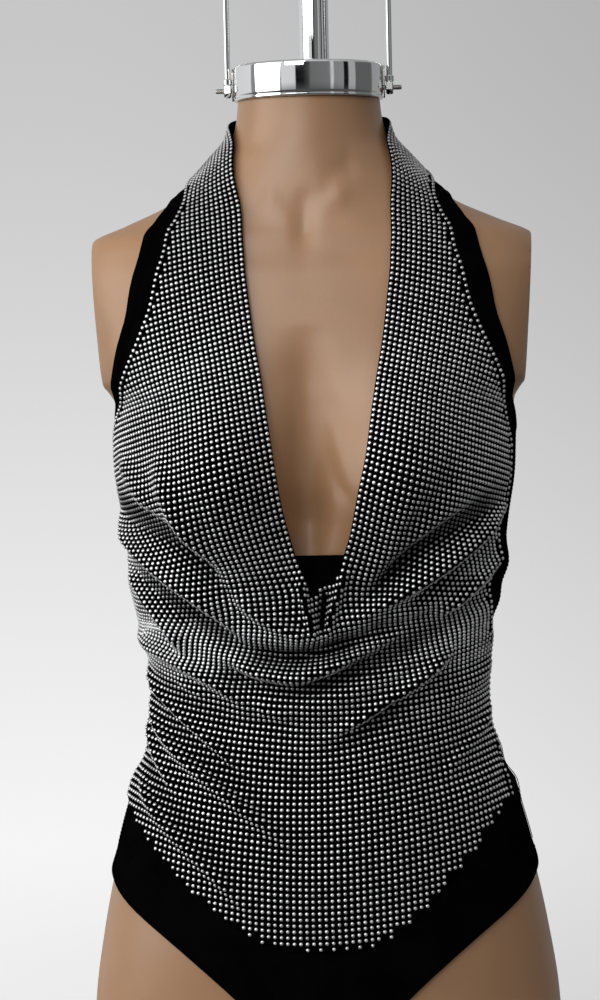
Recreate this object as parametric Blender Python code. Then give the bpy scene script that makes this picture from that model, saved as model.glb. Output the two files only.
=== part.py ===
"""Rhinestone halter bodysuit worn on a limbless dress form with a chrome hanging bail.

Metres, +Z up. The front faces -Y and +X is on the right for someone who looks at the front.
z = 0 is the form's flat base. Cloth is placed by its turn round the upright axis (0 at the
front, positive towards +X, half a turn at the back) and its height z, then lifted off the
form along the surface's normal, so every layer is worked out from the layer below it.
"""
from math import pi, radians

import bmesh
import bpy
import numpy as np
from mathutils import Vector

# ---- driving sizes ------------------------------------------------------------------

NECK_TOP = 0.7765            # flat top of the neck, under the cap
SEAM_GAP = 0.0003            # clearance between pieces that are sewn or seated together

BASE_LIFT = 0.0015           # inner face of the black base layer above the form
BASE_WALL = 0.0010
OVERLAY_LIFT = 0.0031        # inner face of the stoned overlay above the form
OVERLAY_WALL = 0.0014
DRAPE_ROUND = 0.0008         # how softly the overlay comes to rest on the base layer
TURN_LENGTH = 0.125          # metres of cloth to one radian of turn, for placing folds
HEM_EASE = 1.15              # how late the hem starts to climb from the middle
PROBE = 0.0015               # step over a surface from which its normal is found
FOLD_BEGIN = 0.3             # height of a fold at its start, as a share of its full height
FOLD_RISE = 0.2              # share of its length over which it grows
FOLD_FALL = 0.3              # share over which it dies away
FOLD_TAIL = 1.05             # it dies away just past its last point

SHOULDER_CUT_X = 0.1535      # half-width between the flat shoulder cuts, at the height below
SHOULDER_CUT_Z = 0.573
SHOULDER_CUT_LEAN = 0.0615   # the cuts lean outwards by this much for each metre of height
ARM_ROOT_Z = 0.530           # the cuts reach no lower than this

CHANNEL_TOP = 0.0700         # height of the arch between the thighs, at its lowest
CHANNEL_RISE = 0.0330        # the arch climbs this much towards its front and back mouths
CHANNEL_REACH = 0.1050       # distance from the arch's lowest point to a mouth
CHANNEL_CENTRE = 0.0100      # y of the arch's lowest point
CHANNEL_WIDTH = 0.0300       # half-width in the middle
CHANNEL_FLARE = 0.0110       # how much wider each side gets at a mouth
CHANNEL_CROWN = 0.0340       # height of the rounded top
CHANNEL_PAST = 0.0450        # how far the cutter runs on past a mouth
CHANNEL_BELOW = 0.0100       # how far it reaches under the base

GUSSET_MIDDLE = 0.0215       # half-width halfway along
GUSSET_END = 0.0310          # half-width at the front and back seams
GUSSET_DROP = 0.0008         # clearance under the channel's arch
GUSSET_ROWS = 14
GUSSET_PARTS = 4

CAP_RADIUS = 0.0545
CAP_HEIGHT = 0.0255
CAP_ROUND = 0.0020
POST_RADIUS = 0.0108
POST_X = 0.0047              # the post stands a little off the cap's centre
POST_TOP = 0.8720
BOLT_Z = 0.7850              # the bolts are the axis that the bail swings on
BOLT_RADIUS = 0.0019
BOLT_DEPTH = 0.0080          # length inside the cap
BOLT_END = 0.0680
HOLE_RADIUS = 0.0022
DRILL_PAST = 0.0040          # how far a drill runs on past what it cuts
LUG_THICKNESS = 0.0010
LUG_WIDTH = 0.0090
LUG_DROP = 0.0075            # from the bolt to the lug's lower end
LUG_RISE = 0.0160
BAIL_X = 0.0592              # each rod's distance from the middle
BAIL_ROD_RADIUS = 0.0022
BAIL_SHOULDER = 0.8800       # height where the straight rods meet the arch
COLLAR_RADIUS = 0.0052
COLLAR_THICKNESS = 0.0052
FERRULE_RADIUS = 0.0032
FERRULE_LOW = 0.7895         # the ferrule is the thicker stretch of rod between these
FERRULE_HIGH = 0.7935
FERRULE_EDGE = 0.0002

# Level sections of the form. front and back are depths from the axis; squareness is the
# exponent of the superellipse, 2 for an ellipse.
FIGURE_COLUMNS = ("z", "half_width", "front", "back", "squareness")
FIGURE_ROWS = (
    (0.000, 0.1720, 0.0950, 0.1100, 2.30),
    (0.070, 0.1760, 0.0920, 0.1160, 2.30),
    (0.115, 0.1735, 0.0950, 0.1170, 2.28),
    (0.165, 0.1660, 0.0980, 0.1120, 2.25),
    (0.215, 0.1555, 0.0980, 0.1000, 2.22),
    (0.262, 0.1425, 0.0940, 0.0900, 2.20),
    (0.296, 0.1275, 0.0885, 0.0820, 2.20),
    (0.340, 0.1205, 0.0840, 0.0780, 2.20),
    (0.385, 0.1235, 0.0860, 0.0820, 2.20),
    (0.430, 0.1325, 0.0910, 0.0900, 2.22),
    (0.470, 0.1380, 0.0960, 0.0980, 2.25),
    (0.507, 0.1435, 0.0980, 0.1020, 2.30),
    (0.545, 0.1450, 0.0960, 0.1040, 2.35),
    (0.558, 0.1465, 0.0945, 0.1050, 2.40),
    (0.566, 0.1510, 0.0935, 0.1055, 2.42),
    (0.575, 0.1580, 0.0920, 0.1060, 2.45),
    (0.600, 0.1635, 0.0880, 0.1050, 2.50),
    (0.650, 0.1700, 0.0760, 0.0990, 2.50),
    (0.666, 0.1670, 0.0700, 0.0955, 2.45),
    (0.678, 0.1600, 0.0660, 0.0925, 2.35),
    (0.688, 0.1370, 0.0625, 0.0885, 2.20),
    (0.703, 0.1040, 0.0585, 0.0830, 2.15),
    (0.718, 0.0845, 0.0565, 0.0770, 2.10),
    (0.733, 0.0700, 0.0545, 0.0700, 2.05),
    (0.748, 0.0575, 0.0530, 0.0620, 2.00),
    (0.765, 0.0530, 0.0515, 0.0570, 2.00),
    (0.7765, 0.0518, 0.0510, 0.0550, 2.00),
)

# Mounds on the sections: breasts in front, seat behind. lift is how far the mound stands
# out, side is -1 for the front and +1 for the back; each row is used at +x and at -x.
MOUND_COLUMNS = ("x", "z", "lift", "spread_x", "spread_up", "spread_down", "side")
FORM_MOUNDS = (
    (0.072, 0.505, 0.0380, 0.042, 0.062, 0.036, -1),
    (0.068, 0.120, 0.0162, 0.048, 0.060, 0.050, +1),
)


def smooth_read(keys, values, where):
    """Read a column with a cubic through its rows that never overshoots them."""
    keys = np.asarray(keys, float)
    values = np.asarray(values, float)
    where = np.clip(np.asarray(where, float), keys[0], keys[-1])
    step = np.diff(keys)
    secant = np.diff(values) / step
    slope = np.zeros_like(values)
    turning = secant[:-1] * secant[1:] <= 0.0
    together = np.where(turning, 1.0, secant[:-1] + secant[1:])
    slope[1:-1] = np.where(turning, 0.0, 2.0 * secant[:-1] * secant[1:] / together)
    slope[0] = secant[0]
    slope[-1] = secant[-1]
    row = np.clip(np.searchsorted(keys, where, side="right") - 1, 0, len(step) - 1)
    u = (where - keys[row]) / step[row]
    start = values[row] * (1 + 2 * u) * (1 - u) ** 2 + values[row + 1] * u * u * (3 - 2 * u)
    return start + step[row] * (slope[row] * u * (1 - u) ** 2 - slope[row + 1] * u * u * (1 - u))


def column(columns, rows, name):
    """One named column of a table."""
    return np.array([row[columns.index(name)] for row in rows], float)


def figure_column(name, z):
    """A column of the form's sections at the heights z."""
    return smooth_read(column(FIGURE_COLUMNS, FIGURE_ROWS, "z"),
                       column(FIGURE_COLUMNS, FIGURE_ROWS, name), z)


def mound_push(mounds, x, z, side):
    """How far the mounds of one side stand out at x, z."""
    push = np.zeros_like(x)
    for mound_x, mound_z, lift, spread_x, spread_up, spread_down, mound_side in mounds:
        if mound_side != side:
            continue
        upright = np.where(z > mound_z, spread_up, spread_down)
        for centre in (mound_x, -mound_x):
            push += lift * np.exp(-((x - centre) / spread_x) ** 2 - ((z - mound_z) / upright) ** 2)
    return push


def ring_point(turn, z, mounds):
    """Points of the level sections, with mounds, at the given turns and heights."""
    turn, z = np.broadcast_arrays(np.asarray(turn, float), np.asarray(z, float))
    power = figure_column("squareness", z)
    depth = np.where(np.cos(turn) > 0, figure_column("front", z), figure_column("back", z))
    across = np.abs(np.sin(turn)) / figure_column("half_width", z)
    along = np.abs(np.cos(turn)) / depth
    radius = (across ** power + along ** power) ** (-1.0 / power)
    x = radius * np.sin(turn)
    y = -radius * np.cos(turn)
    facing = np.abs(np.cos(turn)) ** 0.5
    y = y - facing * np.where(np.cos(turn) > 0, mound_push(mounds, x, z, -1), 0.0)
    y = y + facing * np.where(np.cos(turn) < 0, mound_push(mounds, x, z, +1), 0.0)
    return np.stack([x, y, z], axis=-1)


def skin(turn, z):
    """The form's surface."""
    return ring_point(turn, z, FORM_MOUNDS)


def normal_of(surface, turn, z):
    """Outward unit normals of a surface, by small steps in turn and height."""
    turn, z = np.broadcast_arrays(np.asarray(turn, float), np.asarray(z, float))
    swing = PROBE / TURN_LENGTH
    around = surface(turn + swing, z) - surface(turn - swing, z)
    upward = surface(turn, z + PROBE) - surface(turn, z - PROBE)
    normal = np.cross(around, upward)
    return normal / np.linalg.norm(normal, axis=-1, keepdims=True)


# ---- folds of the overlay -----------------------------------------------------------

# Breasts under hanging cloth: a little wider, and the cloth falls straighter below them.
DRAPE_MOUNDS = (
    (0.072, 0.505, 0.0390, 0.047, 0.064, 0.066, -1),
    (0.068, 0.120, 0.0162, 0.048, 0.060, 0.050, +1),
)

# Each fold starts at a, passes b and ends at c; turns are in degrees, left of the photo
# negative. A positive height is a ridge, a negative one a trough.
FOLD_COLUMNS = ("turn_a", "z_a", "turn_b", "z_b", "turn_c", "z_c", "height", "width")
FOLD_ROWS = (
    (-55, 0.514, -40, 0.461, -19, 0.414, +0.0033, 0.0108),    # bust to the V, left
    (-76, 0.490, -50, 0.457, -30, 0.432, -0.0076, 0.0121),    # under the left bust
    (-85, 0.480, -52, 0.431, -24, 0.386, +0.0057, 0.0115),
    (-62, 0.416, -34, 0.388, +2, 0.379, -0.0062, 0.0115),
    (-82, 0.438, -55, 0.378, -16, 0.338, +0.0059, 0.0121),
    (-82, 0.402, -58, 0.353, -22, 0.318, -0.0033, 0.0095),
    (-86, 0.368, -58, 0.334, -26, 0.290, +0.0049, 0.0108),
    (-85, 0.352, -58, 0.318, -34, 0.288, -0.0029, 0.0088),
    (-84, 0.341, -47, 0.297, -4, 0.242, +0.0053, 0.0115),
    (-84, 0.322, -52, 0.282, -20, 0.240, -0.0030, 0.0095),
    (-86, 0.316, -64, 0.287, -50, 0.246, +0.0047, 0.0115),
    (-78, 0.284, -49, 0.243, -20, 0.193, +0.0042, 0.0115),
    (-86, 0.462, -66, 0.428, -44, 0.398, +0.0025, 0.0081),
    (-86, 0.420, -68, 0.384, -50, 0.356, +0.0025, 0.0081),
    (-87, 0.296, -74, 0.276, -62, 0.258, +0.0023, 0.0081),
    (+45, 0.512, +39, 0.468, +27, 0.436, -0.0032, 0.0108),    # bust to the V, right
    (+64, 0.478, +45, 0.452, +23, 0.419, -0.0076, 0.0121),    # under the right bust
    (+72, 0.476, +46, 0.437, +26, 0.409, +0.0049, 0.0108),
    (+70, 0.462, +50, 0.428, +30, 0.402, -0.0029, 0.0081),
    (+70, 0.448, +52, 0.415, +28, 0.392, +0.0038, 0.0095),
    (+71, 0.428, +46, 0.396, +20, 0.380, +0.0029, 0.0095),
    (+56, 0.394, +30, 0.372, -8, 0.358, -0.0059, 0.0121),     # long dark swag
    (-30, 0.386, -7, 0.378, +16, 0.394, -0.0065, 0.0121),     # under the V
    (-36, 0.370, +2, 0.368, +38, 0.388, +0.0038, 0.0101),
    (+66, 0.384, +36, 0.353, +6, 0.321, +0.0051, 0.0115),
    (+48, 0.348, +22, 0.322, -2, 0.312, -0.0040, 0.0121),
    (+82, 0.366, +66, 0.352, +48, 0.334, +0.0030, 0.0095),
    (+83, 0.338, +68, 0.328, +50, 0.312, +0.0029, 0.0088),
    (+84, 0.318, +70, 0.308, +54, 0.296, +0.0027, 0.0088),
    (+83, 0.298, +68, 0.282, +52, 0.268, +0.0029, 0.0095),
    (+79, 0.280, +66, 0.264, +54, 0.254, +0.0023, 0.0088),
    (-9, 0.446, -5, 0.420, -2, 0.396, +0.0034, 0.0088),       # left edge of the V laps over
    (+8, 0.436, +6, 0.416, +4, 0.402, -0.0047, 0.0088),       # the right edge tucks under
    (-88, 0.440, -88, 0.405, -86, 0.370, +0.0040, 0.0260),    # cloth stands off the waist
    (+76, 0.440, +78, 0.405, +82, 0.370, +0.0040, 0.0260),
)

# Folds of the base layer where it shows past the overlay, at the sides.
BASE_FOLD_ROWS = (
    (+66, 0.454, +84, 0.440, +98, 0.432, +0.0045, 0.0120),
    (+70, 0.422, +84, 0.412, +98, 0.407, +0.0030, 0.0110),
    (+76, 0.308, +88, 0.298, +99, 0.292, +0.0030, 0.0095),
    (+75, 0.284, +87, 0.274, +98, 0.268, +0.0030, 0.0095),
    (-98, 0.292, -88, 0.282, -78, 0.268, +0.0030, 0.0100),
)

# Rows across the cloth, each from its outer edge to an inner line on either side. Above the
# notch row the inner lines are the neckline's edges; below it they only guide the weave and
# the cloth runs on between them. Turns are in degrees, the left ones taken as negative.
# sweep bends a row from straight (0) to the U of the hem (1); parts cuts the next stretch.
ROW_COLUMNS = ("left_turn", "left_z", "right_turn", "right_z",
               "outer_left", "outer_right", "outer_z", "sweep", "parts")
OVERLAY_ROWS = (
    (179.87, 0.764, 179.87, 0.764, 179.87, 179.87, 0.735, 0.0, 2),
    (150, 0.765, 150, 0.765, 150, 150, 0.732, 0.0, 2),
    (120, 0.765, 120, 0.765, 120, 120, 0.728, 0.0, 2),
    (97, 0.762, 97, 0.762, 97, 97, 0.722, 0.0, 2),
    (76, 0.756, 79, 0.756, 81, 81, 0.714, 0.0, 2),
    (58, 0.741, 63, 0.741, 72, 72, 0.706, 0.0, 2),
    (48, 0.719, 54, 0.719, 66, 66, 0.696, 0.0, 1),
    (39, 0.693, 46, 0.693, 62, 62, 0.681, 0.0, 1),
    (33, 0.664, 40, 0.664, 59.5, 59.5, 0.659, 0.0, 1),
    (28, 0.634, 35, 0.634, 59, 59, 0.632, 0.0, 1),
    (24, 0.604, 31, 0.604, 61, 61, 0.606, 0.0, 1),
    (20.5, 0.576, 27.5, 0.576, 65, 65, 0.582, 0.0, 2),
    (18, 0.548, 25, 0.550, 71, 70, 0.560, 0.0, 2),
    (15.5, 0.518, 23, 0.524, 79, 73, 0.542, 0.0, 2),
    (13, 0.490, 20, 0.500, 85, 76, 0.522, 0.0, 3),
    (8, 0.456, 16.5, 0.471, 87, 76, 0.490, 0.0, 4),
    (2, 0.424, 12, 0.442, 88, 73, 0.455, 0.0, 4),
    (2, 0.395, 11, 0.405, 88, 72, 0.425, 0.1, 5),
    (3, 0.360, 11, 0.364, 89, 76, 0.396, 0.3, 5),
    (5, 0.325, 12, 0.327, 89, 82, 0.368, 0.5, 5),
    (7, 0.285, 13, 0.286, 89, 84, 0.338, 0.7, 5),
    (8, 0.245, 13, 0.245, 88, 82, 0.310, 0.85, 4),
    (9, 0.205, 13, 0.205, 87, 79, 0.286, 0.95, 4),
    (9, 0.171, 13, 0.171, 86, 78, 0.266, 1.0, 1),
)
OVERLAY_NOTCH = 16
OVERLAY_COLUMNS = (13, 4, 11)    # left of the V, across it, right of it

BASE_ROWS = (
    (179.87, 0.761, 179.87, 0.761, 179.87, 179.87, 0.727, 0.0, 2),
    (150, 0.762, 150, 0.762, 150, 150, 0.723, 0.0, 2),
    (120, 0.762, 120, 0.762, 120, 120, 0.718, 0.0, 2),
    (98, 0.759, 98, 0.759, 98, 98, 0.7115, 0.0, 2),
    (80, 0.753, 82, 0.753, 85, 85, 0.7055, 0.0, 2),
    (61, 0.739, 66, 0.739, 77, 77, 0.698, 0.0, 2),
    (51, 0.716, 57, 0.716, 71.5, 71.5, 0.688, 0.0, 2),
    (42, 0.690, 49, 0.690, 67, 67, 0.673, 0.0, 1),
    (36, 0.661, 43, 0.661, 64.8, 64.8, 0.651, 0.0, 1),
    (31, 0.632, 38, 0.632, 64.8, 64.8, 0.627, 0.0, 1),
    (27, 0.602, 34, 0.602, 67, 67, 0.602, 0.0, 1),
    (23.5, 0.575, 30.5, 0.575, 70, 70, 0.580, 0.0, 2),
    (21, 0.547, 28, 0.549, 77, 77, 0.558, 0.0, 2),
    (18.5, 0.518, 26, 0.522, 87, 87, 0.541, 0.0, 3),
    (15.5, 0.487, 22.5, 0.490, 94.9, 94.9, 0.530, 0.0, 3),
    (10.5, 0.453, 17, 0.453, 94.9, 94.9, 0.480, 0.0, 2),
    (9, 0.415, 13, 0.415, 94.9, 94.9, 0.440, 0.2, 2),
    (9, 0.375, 11, 0.375, 94.9, 94.9, 0.398, 0.3, 2),
    (9, 0.335, 10, 0.335, 94.9, 94.9, 0.356, 0.4, 2),
    (9, 0.295, 9, 0.295, 94.9, 94.9, 0.314, 0.5, 2),
    (9, 0.255, 9, 0.255, 94.9, 94.9, 0.272, 0.6, 2),
    (9, 0.215, 9, 0.215, 94.9, 94.9, 0.222, 0.7, 2),
    (8, 0.185, 8, 0.185, 78, 78, 0.205, 0.8, 2),
    (7, 0.160, 7, 0.160, 60, 60, 0.182, 0.9, 2),
    (6, 0.135, 6, 0.135, 42, 42, 0.150, 1.0, 2),
    (5, 0.114, 5, 0.114, 28, 28, 0.120, 1.0, 2),
    (4, 0.0965, 4, 0.0965, 19.5, 19.5, 0.0965, 1.0, 1),
)
BASE_NOTCH = 15
BASE_COLUMNS = (9, 3, 9)

# The back panel's rows run from seam to seam and dip to mid_z at the middle of the back.
BACK_COLUMNS = ("edge_turn", "edge_z", "mid_z", "parts")
BACK_ROWS = (
    (95.1, 0.532, 0.452, 2),
    (95.1, 0.480, 0.414, 2),
    (95.1, 0.440, 0.385, 2),
    (95.1, 0.398, 0.350, 2),
    (95.1, 0.356, 0.318, 2),
    (95.1, 0.314, 0.285, 2),
    (95.1, 0.272, 0.252, 2),
    (95.1, 0.222, 0.215, 2),
    (108, 0.196, 0.185, 1),
    (120, 0.168, 0.160, 1),
    (132, 0.143, 0.138, 1),
    (146, 0.121, 0.118, 1),
    (161, 0.1005, 0.1005, 1),
)
BACK_WIDTH_PARTS = 18

FORM_TURNS = (0, 7, 14, 21, 28, 35, 42, 49, 56, 63, 75, 90, 105, 120, 135, 150, 165)
FORM_HEIGHTS = (0.000, 0.035, 0.070, 0.105, 0.145, 0.185, 0.220, 0.248, 0.268, 0.286, 0.304,
                0.326, 0.352, 0.380, 0.405, 0.425, 0.441, 0.456, 0.470, 0.484, 0.498, 0.513, 0.530,
                0.545, 0.558, 0.566, 0.575, 0.595, 0.625, 0.650, 0.666, 0.678, 0.688, 0.696,
                0.704, 0.713, 0.724, 0.736, 0.748, 0.762, NECK_TOP)


def fold_height(rows, turn, z):
    """Height that a table of folds adds at the given turns and heights."""
    place = np.stack([turn * TURN_LENGTH, z], axis=-1)
    total = np.zeros_like(z)
    along = np.linspace(0.0, 1.0, 25)
    for turn_a, z_a, turn_b, z_b, turn_c, z_c, height, width in rows:
        a, b, c = (np.array([radians(t) * TURN_LENGTH, level])
                   for t, level in ((turn_a, z_a), (turn_b, z_b), (turn_c, z_c)))
        handle = 2 * b - (a + c) / 2
        path = (np.outer((1 - along) ** 2, a) + np.outer(2 * along * (1 - along), handle)
                + np.outer(along ** 2, c))
        away = np.linalg.norm(place[..., None, :] - path, axis=-1)
        nearest = away.argmin(axis=-1)
        fade = np.minimum(FOLD_BEGIN + along / FOLD_RISE, (FOLD_TAIL - along) / FOLD_FALL)
        fade = np.minimum(1.0, fade)
        total += height * fade[nearest] * np.exp(-(away.min(axis=-1) / width) ** 2)
    return total


def hanging(turn, z):
    """Where the overlay's cloth would hang without its folds."""
    return ring_point(turn, z, DRAPE_MOUNDS)


def overlay_inside(turn, z):
    """Inner face of the overlay and the direction of its wall."""
    rest = skin(turn, z)
    rest_normal = normal_of(skin, turn, z)
    normal = normal_of(hanging, turn, z)
    lift = OVERLAY_LIFT + fold_height(FOLD_ROWS, turn, z)
    inside = hanging(turn, z) + normal * lift[..., None]
    stand = np.sum((inside - rest) * rest_normal, axis=-1)
    short = OVERLAY_LIFT + fold_height(BASE_FOLD_ROWS, turn, z) - stand
    push = (short + np.sqrt(short ** 2 + DRAPE_ROUND ** 2)) / 2
    return inside + rest_normal * push[..., None], normal


def base_inside(turn, z):
    """Inner face of the base layer and the direction of its wall."""
    normal = normal_of(skin, turn, z)
    lift = BASE_LIFT + fold_height(BASE_FOLD_ROWS, turn, z)
    return skin(turn, z) + normal * lift[..., None], normal


# ---- mesh helpers -------------------------------------------------------------------

def finish(name, colour, metallic, roughness):
    """A plain Principled material."""
    material = bpy.data.materials.new(name)
    material.use_nodes = True
    shader = material.node_tree.nodes["Principled BSDF"]
    shader.inputs["Base Color"].default_value = (*colour, 1.0)
    shader.inputs["Metallic"].default_value = metallic
    shader.inputs["Roughness"].default_value = roughness
    return material


def add_object(name, points, faces, material, smooth_angle=40):
    """An object from points and faces, shaded smooth up to an angle."""
    mesh = bpy.data.meshes.new(name)
    mesh.from_pydata([tuple(point) for point in points], [], faces)
    mesh.validate()
    mesh.shade_smooth()
    mesh.set_sharp_from_angle(angle=radians(smooth_angle))
    if material:
        mesh.materials.append(material)
    made = bpy.data.objects.new(name, mesh)
    bpy.context.scene.collection.objects.link(made)
    return made


def split_quad(points, a, b, c, d, folded=False):
    """Two triangles of a quad whose corners run down, across and up again.

    On folded cloth the cut runs down towards the middle of the body, as the folds do, and
    elsewhere it is the shorter diagonal.
    """
    if folded:
        first = points[[a, b, c, d], 0].mean() < 0
    else:
        first = np.linalg.norm(points[a] - points[c]) <= np.linalg.norm(points[b] - points[d])
    if first:
        return (a, b, c), (a, c, d)
    return (a, b, d), (b, c, d)


def two_sided(name, outer, inner, triangles, material):
    """A closed body from one sheet's triangles, its two faces' points and a rim between."""
    used = sorted({corner for triangle in triangles for corner in triangle})
    number = {corner: i for i, corner in enumerate(used)}
    count = len(used)
    faces = [tuple(number[i] for i in triangle) for triangle in triangles]
    edges = {(face[i], face[(i + 1) % 3]) for face in faces for i in range(3)}
    faces += [tuple(count + i for i in reversed(face)) for face in faces]
    for p, q in sorted(edges):
        if (q, p) not in edges:
            faces += [(q, p, count + p), (q, count + p, count + q)]
    return add_object(name, [*outer[used], *inner[used]], faces, material)


def cloth_wall(name, turn, z, present, surface, wall, material, folded=False):
    """A closed cloth wall over a grid of turns and heights.

    turn and z hold a grid of corners, row by row down the cloth; present says which of the
    grid's cells are cloth.
    """
    inside, direction = surface(turn, z)
    outside = inside + direction * wall
    rows, columns = turn.shape
    inner = inside.reshape(-1, 3)
    outer = outside.reshape(-1, 3)
    triangles = []
    for row in range(rows - 1):
        for col in range(columns - 1):
            if present(row, col):
                a = row * columns + col
                below = a + columns
                triangles += split_quad(outer, a, below, below + 1, a + 1, folded)
    return two_sided(name, outer, inner, triangles, material)


def read_rows(columns, rows):
    """Every row of a table with the in-between rows that its parts column asks for."""
    index = np.arange(len(rows))
    where = [row + part / int(rows[row][-1])
             for row in range(len(rows) - 1) for part in range(int(rows[row][-1]))]
    where.append(len(rows) - 1.0)
    fine = {name: smooth_read(index, column(columns, rows, name), where)
            for name in columns[:-1]}
    return np.array(where), fine


def u_bend(share):
    """The hem's course from the middle (0) to the side (1)."""
    eased = share ** HEM_EASE
    return eased * eased * (3 - 2 * eased)


def panel_grid(rows, counts):
    """Turn and height of every corner of a front panel, from its table of rows."""
    where, fine = read_rows(ROW_COLUMNS, rows)
    left, middle, right = counts
    share_left = np.linspace(1.0, 0.0, left + 1)
    share_middle = np.linspace(0.0, 1.0, middle + 1)[1:-1]
    share_right = np.linspace(0.0, 1.0, right + 1)
    turn = []
    z = []
    for i in range(len(where)):
        row = {name: values[i] for name, values in fine.items()}
        row_turn = []
        row_z = []
        for sign, side, shares in ((-1, "left", share_left), (1, "right", share_right)):
            inner, inner_z, outer = row[side + "_turn"], row[side + "_z"], row["outer_" + side]
            bend = shares * (1 - row["sweep"]) + u_bend(shares) * row["sweep"]
            row_turn.append(sign * (inner + (outer - inner) * shares))
            row_z.append(inner_z + (row["outer_z"] - inner_z) * bend)
        across = row_turn[0][-1] + (row_turn[1][0] - row_turn[0][-1]) * share_middle
        across_z = row_z[0][-1] + (row_z[1][0] - row_z[0][-1]) * share_middle
        turn.append(np.concatenate([row_turn[0], across, row_turn[1]]))
        z.append(np.concatenate([row_z[0], across_z, row_z[1]]))
    return where, np.radians(turn), np.array(z)


def front_panel(name, rows, counts, notch, surface, wall, material, folded=False):
    """A halter front: two straps that meet at the nape and join below the neckline."""
    where, turn, z = panel_grid(rows, counts)
    left, middle, _ = counts

    def present(row, col):
        return where[row] >= notch - 1e-6 or not left <= col < left + middle

    return cloth_wall(name, turn, z, present, surface, wall, material, folded)


def back_panel(name, material):
    """The low-cut back, from side seam to side seam and down to the gusset."""
    _, fine = read_rows(BACK_COLUMNS, BACK_ROWS)
    share = np.linspace(-1.0, 1.0, BACK_WIDTH_PARTS + 1)
    edge_turn = fine["edge_turn"][:, None]
    turn = 180.0 + (180.0 - edge_turn) * share
    eased = np.abs(share) ** 2 * (3 - 2 * np.abs(share))
    z = fine["mid_z"][:, None] + (fine["edge_z"] - fine["mid_z"])[:, None] * eased
    return cloth_wall(name, np.radians(turn), z, lambda row, col: True,
                      base_inside, BASE_WALL, material)


def loft(name, rings, material, smooth_angle=40):
    """A closed body over rings of equally many points, flat at both ends.

    The rings run upwards or along the body, each counter-clockwise seen from its end.
    """
    sides = len(rings[0])
    points = [point for ring in rings for point in ring]
    faces = [tuple(reversed(range(sides)))]
    for level in range(len(rings) - 1):
        start = level * sides
        for i in range(sides):
            j = (i + 1) % sides
            faces.append((start + i, start + j, start + sides + j, start + sides + i))
    last = (len(rings) - 1) * sides
    faces.append(tuple(range(last, last + sides)))
    return add_object(name, points, faces, material, smooth_angle)


def circle(centre, radius, sides, across, upright):
    """Points round a centre in the plane of two unit vectors."""
    angles = np.arange(sides) * 2 * pi / sides
    return [centre + radius * (np.cos(a) * across + np.sin(a) * upright) for a in angles]


X_AXIS = np.array([1.0, 0.0, 0.0])
Y_AXIS = np.array([0.0, 1.0, 0.0])
Z_AXIS = np.array([0.0, 0.0, 1.0])


def turned(name, profile, centre, material, sides=32):
    """A body turned round an upright axis from a profile of (radius, z)."""
    rings = [circle(np.array([centre[0], centre[1], z]), radius, sides, X_AXIS, Y_AXIS)
             for radius, z in profile]
    return loft(name, rings, material)


def cross_bar(name, start_x, end_x, radius, material, sides=12):
    """A round bar along X through the bolt line."""
    rings = [circle(np.array([x, 0.0, BOLT_Z]), radius, sides, Y_AXIS, Z_AXIS)
             for x in sorted((start_x, end_x))]
    return loft(name, rings, material)


def as_helper(shape):
    """Keep a shape for Boolean use only."""
    shape.hide_render = True
    shape.display_type = "WIRE"
    return shape


def boolean(target, helper, operation="DIFFERENCE"):
    """Cut a helper out of a body, or join it on."""
    step = target.modifiers.new(operation.title() + " " + helper.name, "BOOLEAN")
    step.operation = operation
    step.solver = "EXACT"
    step.object = helper


# ---- the dress form -----------------------------------------------------------------

def thigh_channel():
    """The arch-topped channel between the thigh tops, as a cutter along Y."""
    rings = []
    reach = CHANNEL_REACH + CHANNEL_PAST
    for step in np.linspace(-1.0, 1.0, 13):
        y = CHANNEL_CENTRE + reach * step
        rings.append([np.array([x, y, z]) for x, z in channel_outline(y)])
    return as_helper(loft("thigh_channel", rings, None))


def channel_size(y):
    """Height of the arch's crown and its half-width at y."""
    share = ((y - CHANNEL_CENTRE) / CHANNEL_REACH) ** 2
    return CHANNEL_TOP + CHANNEL_RISE * share, CHANNEL_WIDTH + CHANNEL_FLARE * share


def channel_outline(y, sides=14):
    """The channel's section at y, from its left foot over the crown to its right foot."""
    top, width = channel_size(y)
    arch = [(-width * np.cos(a), top - CHANNEL_CROWN * (1 - np.sin(a)))
            for a in np.linspace(0.0, pi, sides + 1)]
    return [(-width, -CHANNEL_BELOW)] + arch + [(width, -CHANNEL_BELOW)]


def dress_form(material):
    """The form's body, with flat shoulder cuts and the channel between its thighs."""
    half = [radians(turn) for turn in FORM_TURNS]
    turns = np.array(half + [pi] + [-turn for turn in reversed(half[1:])])
    rings = [list(skin(turns, np.full(len(turns), z))) for z in FORM_HEIGHTS]
    body = loft("dress_form", rings, material)
    shape = bmesh.new()
    shape.from_mesh(body.data)
    for side in (-1, 1):
        place = Vector((side * SHOULDER_CUT_X, 0.0, SHOULDER_CUT_Z))
        facing = Vector((side, 0.0, -SHOULDER_CUT_LEAN)).normalized()
        high = [face for face in shape.faces if face.calc_center_median().z > ARM_ROOT_Z]
        near = {edge for face in high for edge in face.edges}
        ends = {corner for face in high for corner in face.verts}
        cut = bmesh.ops.bisect_plane(shape, geom=high + list(near) + list(ends),
                                     plane_co=place, plane_no=facing, clear_outer=True)
        rim = [part for part in cut["geom_cut"] if isinstance(part, bmesh.types.BMEdge)]
        bmesh.ops.edgenet_fill(shape, edges=rim)
    bmesh.ops.recalc_face_normals(shape, faces=shape.faces[:])
    shape.to_mesh(body.data)
    shape.free()
    body.data.shade_smooth()
    body.data.set_sharp_from_angle(angle=radians(40))
    boolean(body, thigh_channel())
    return body


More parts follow.
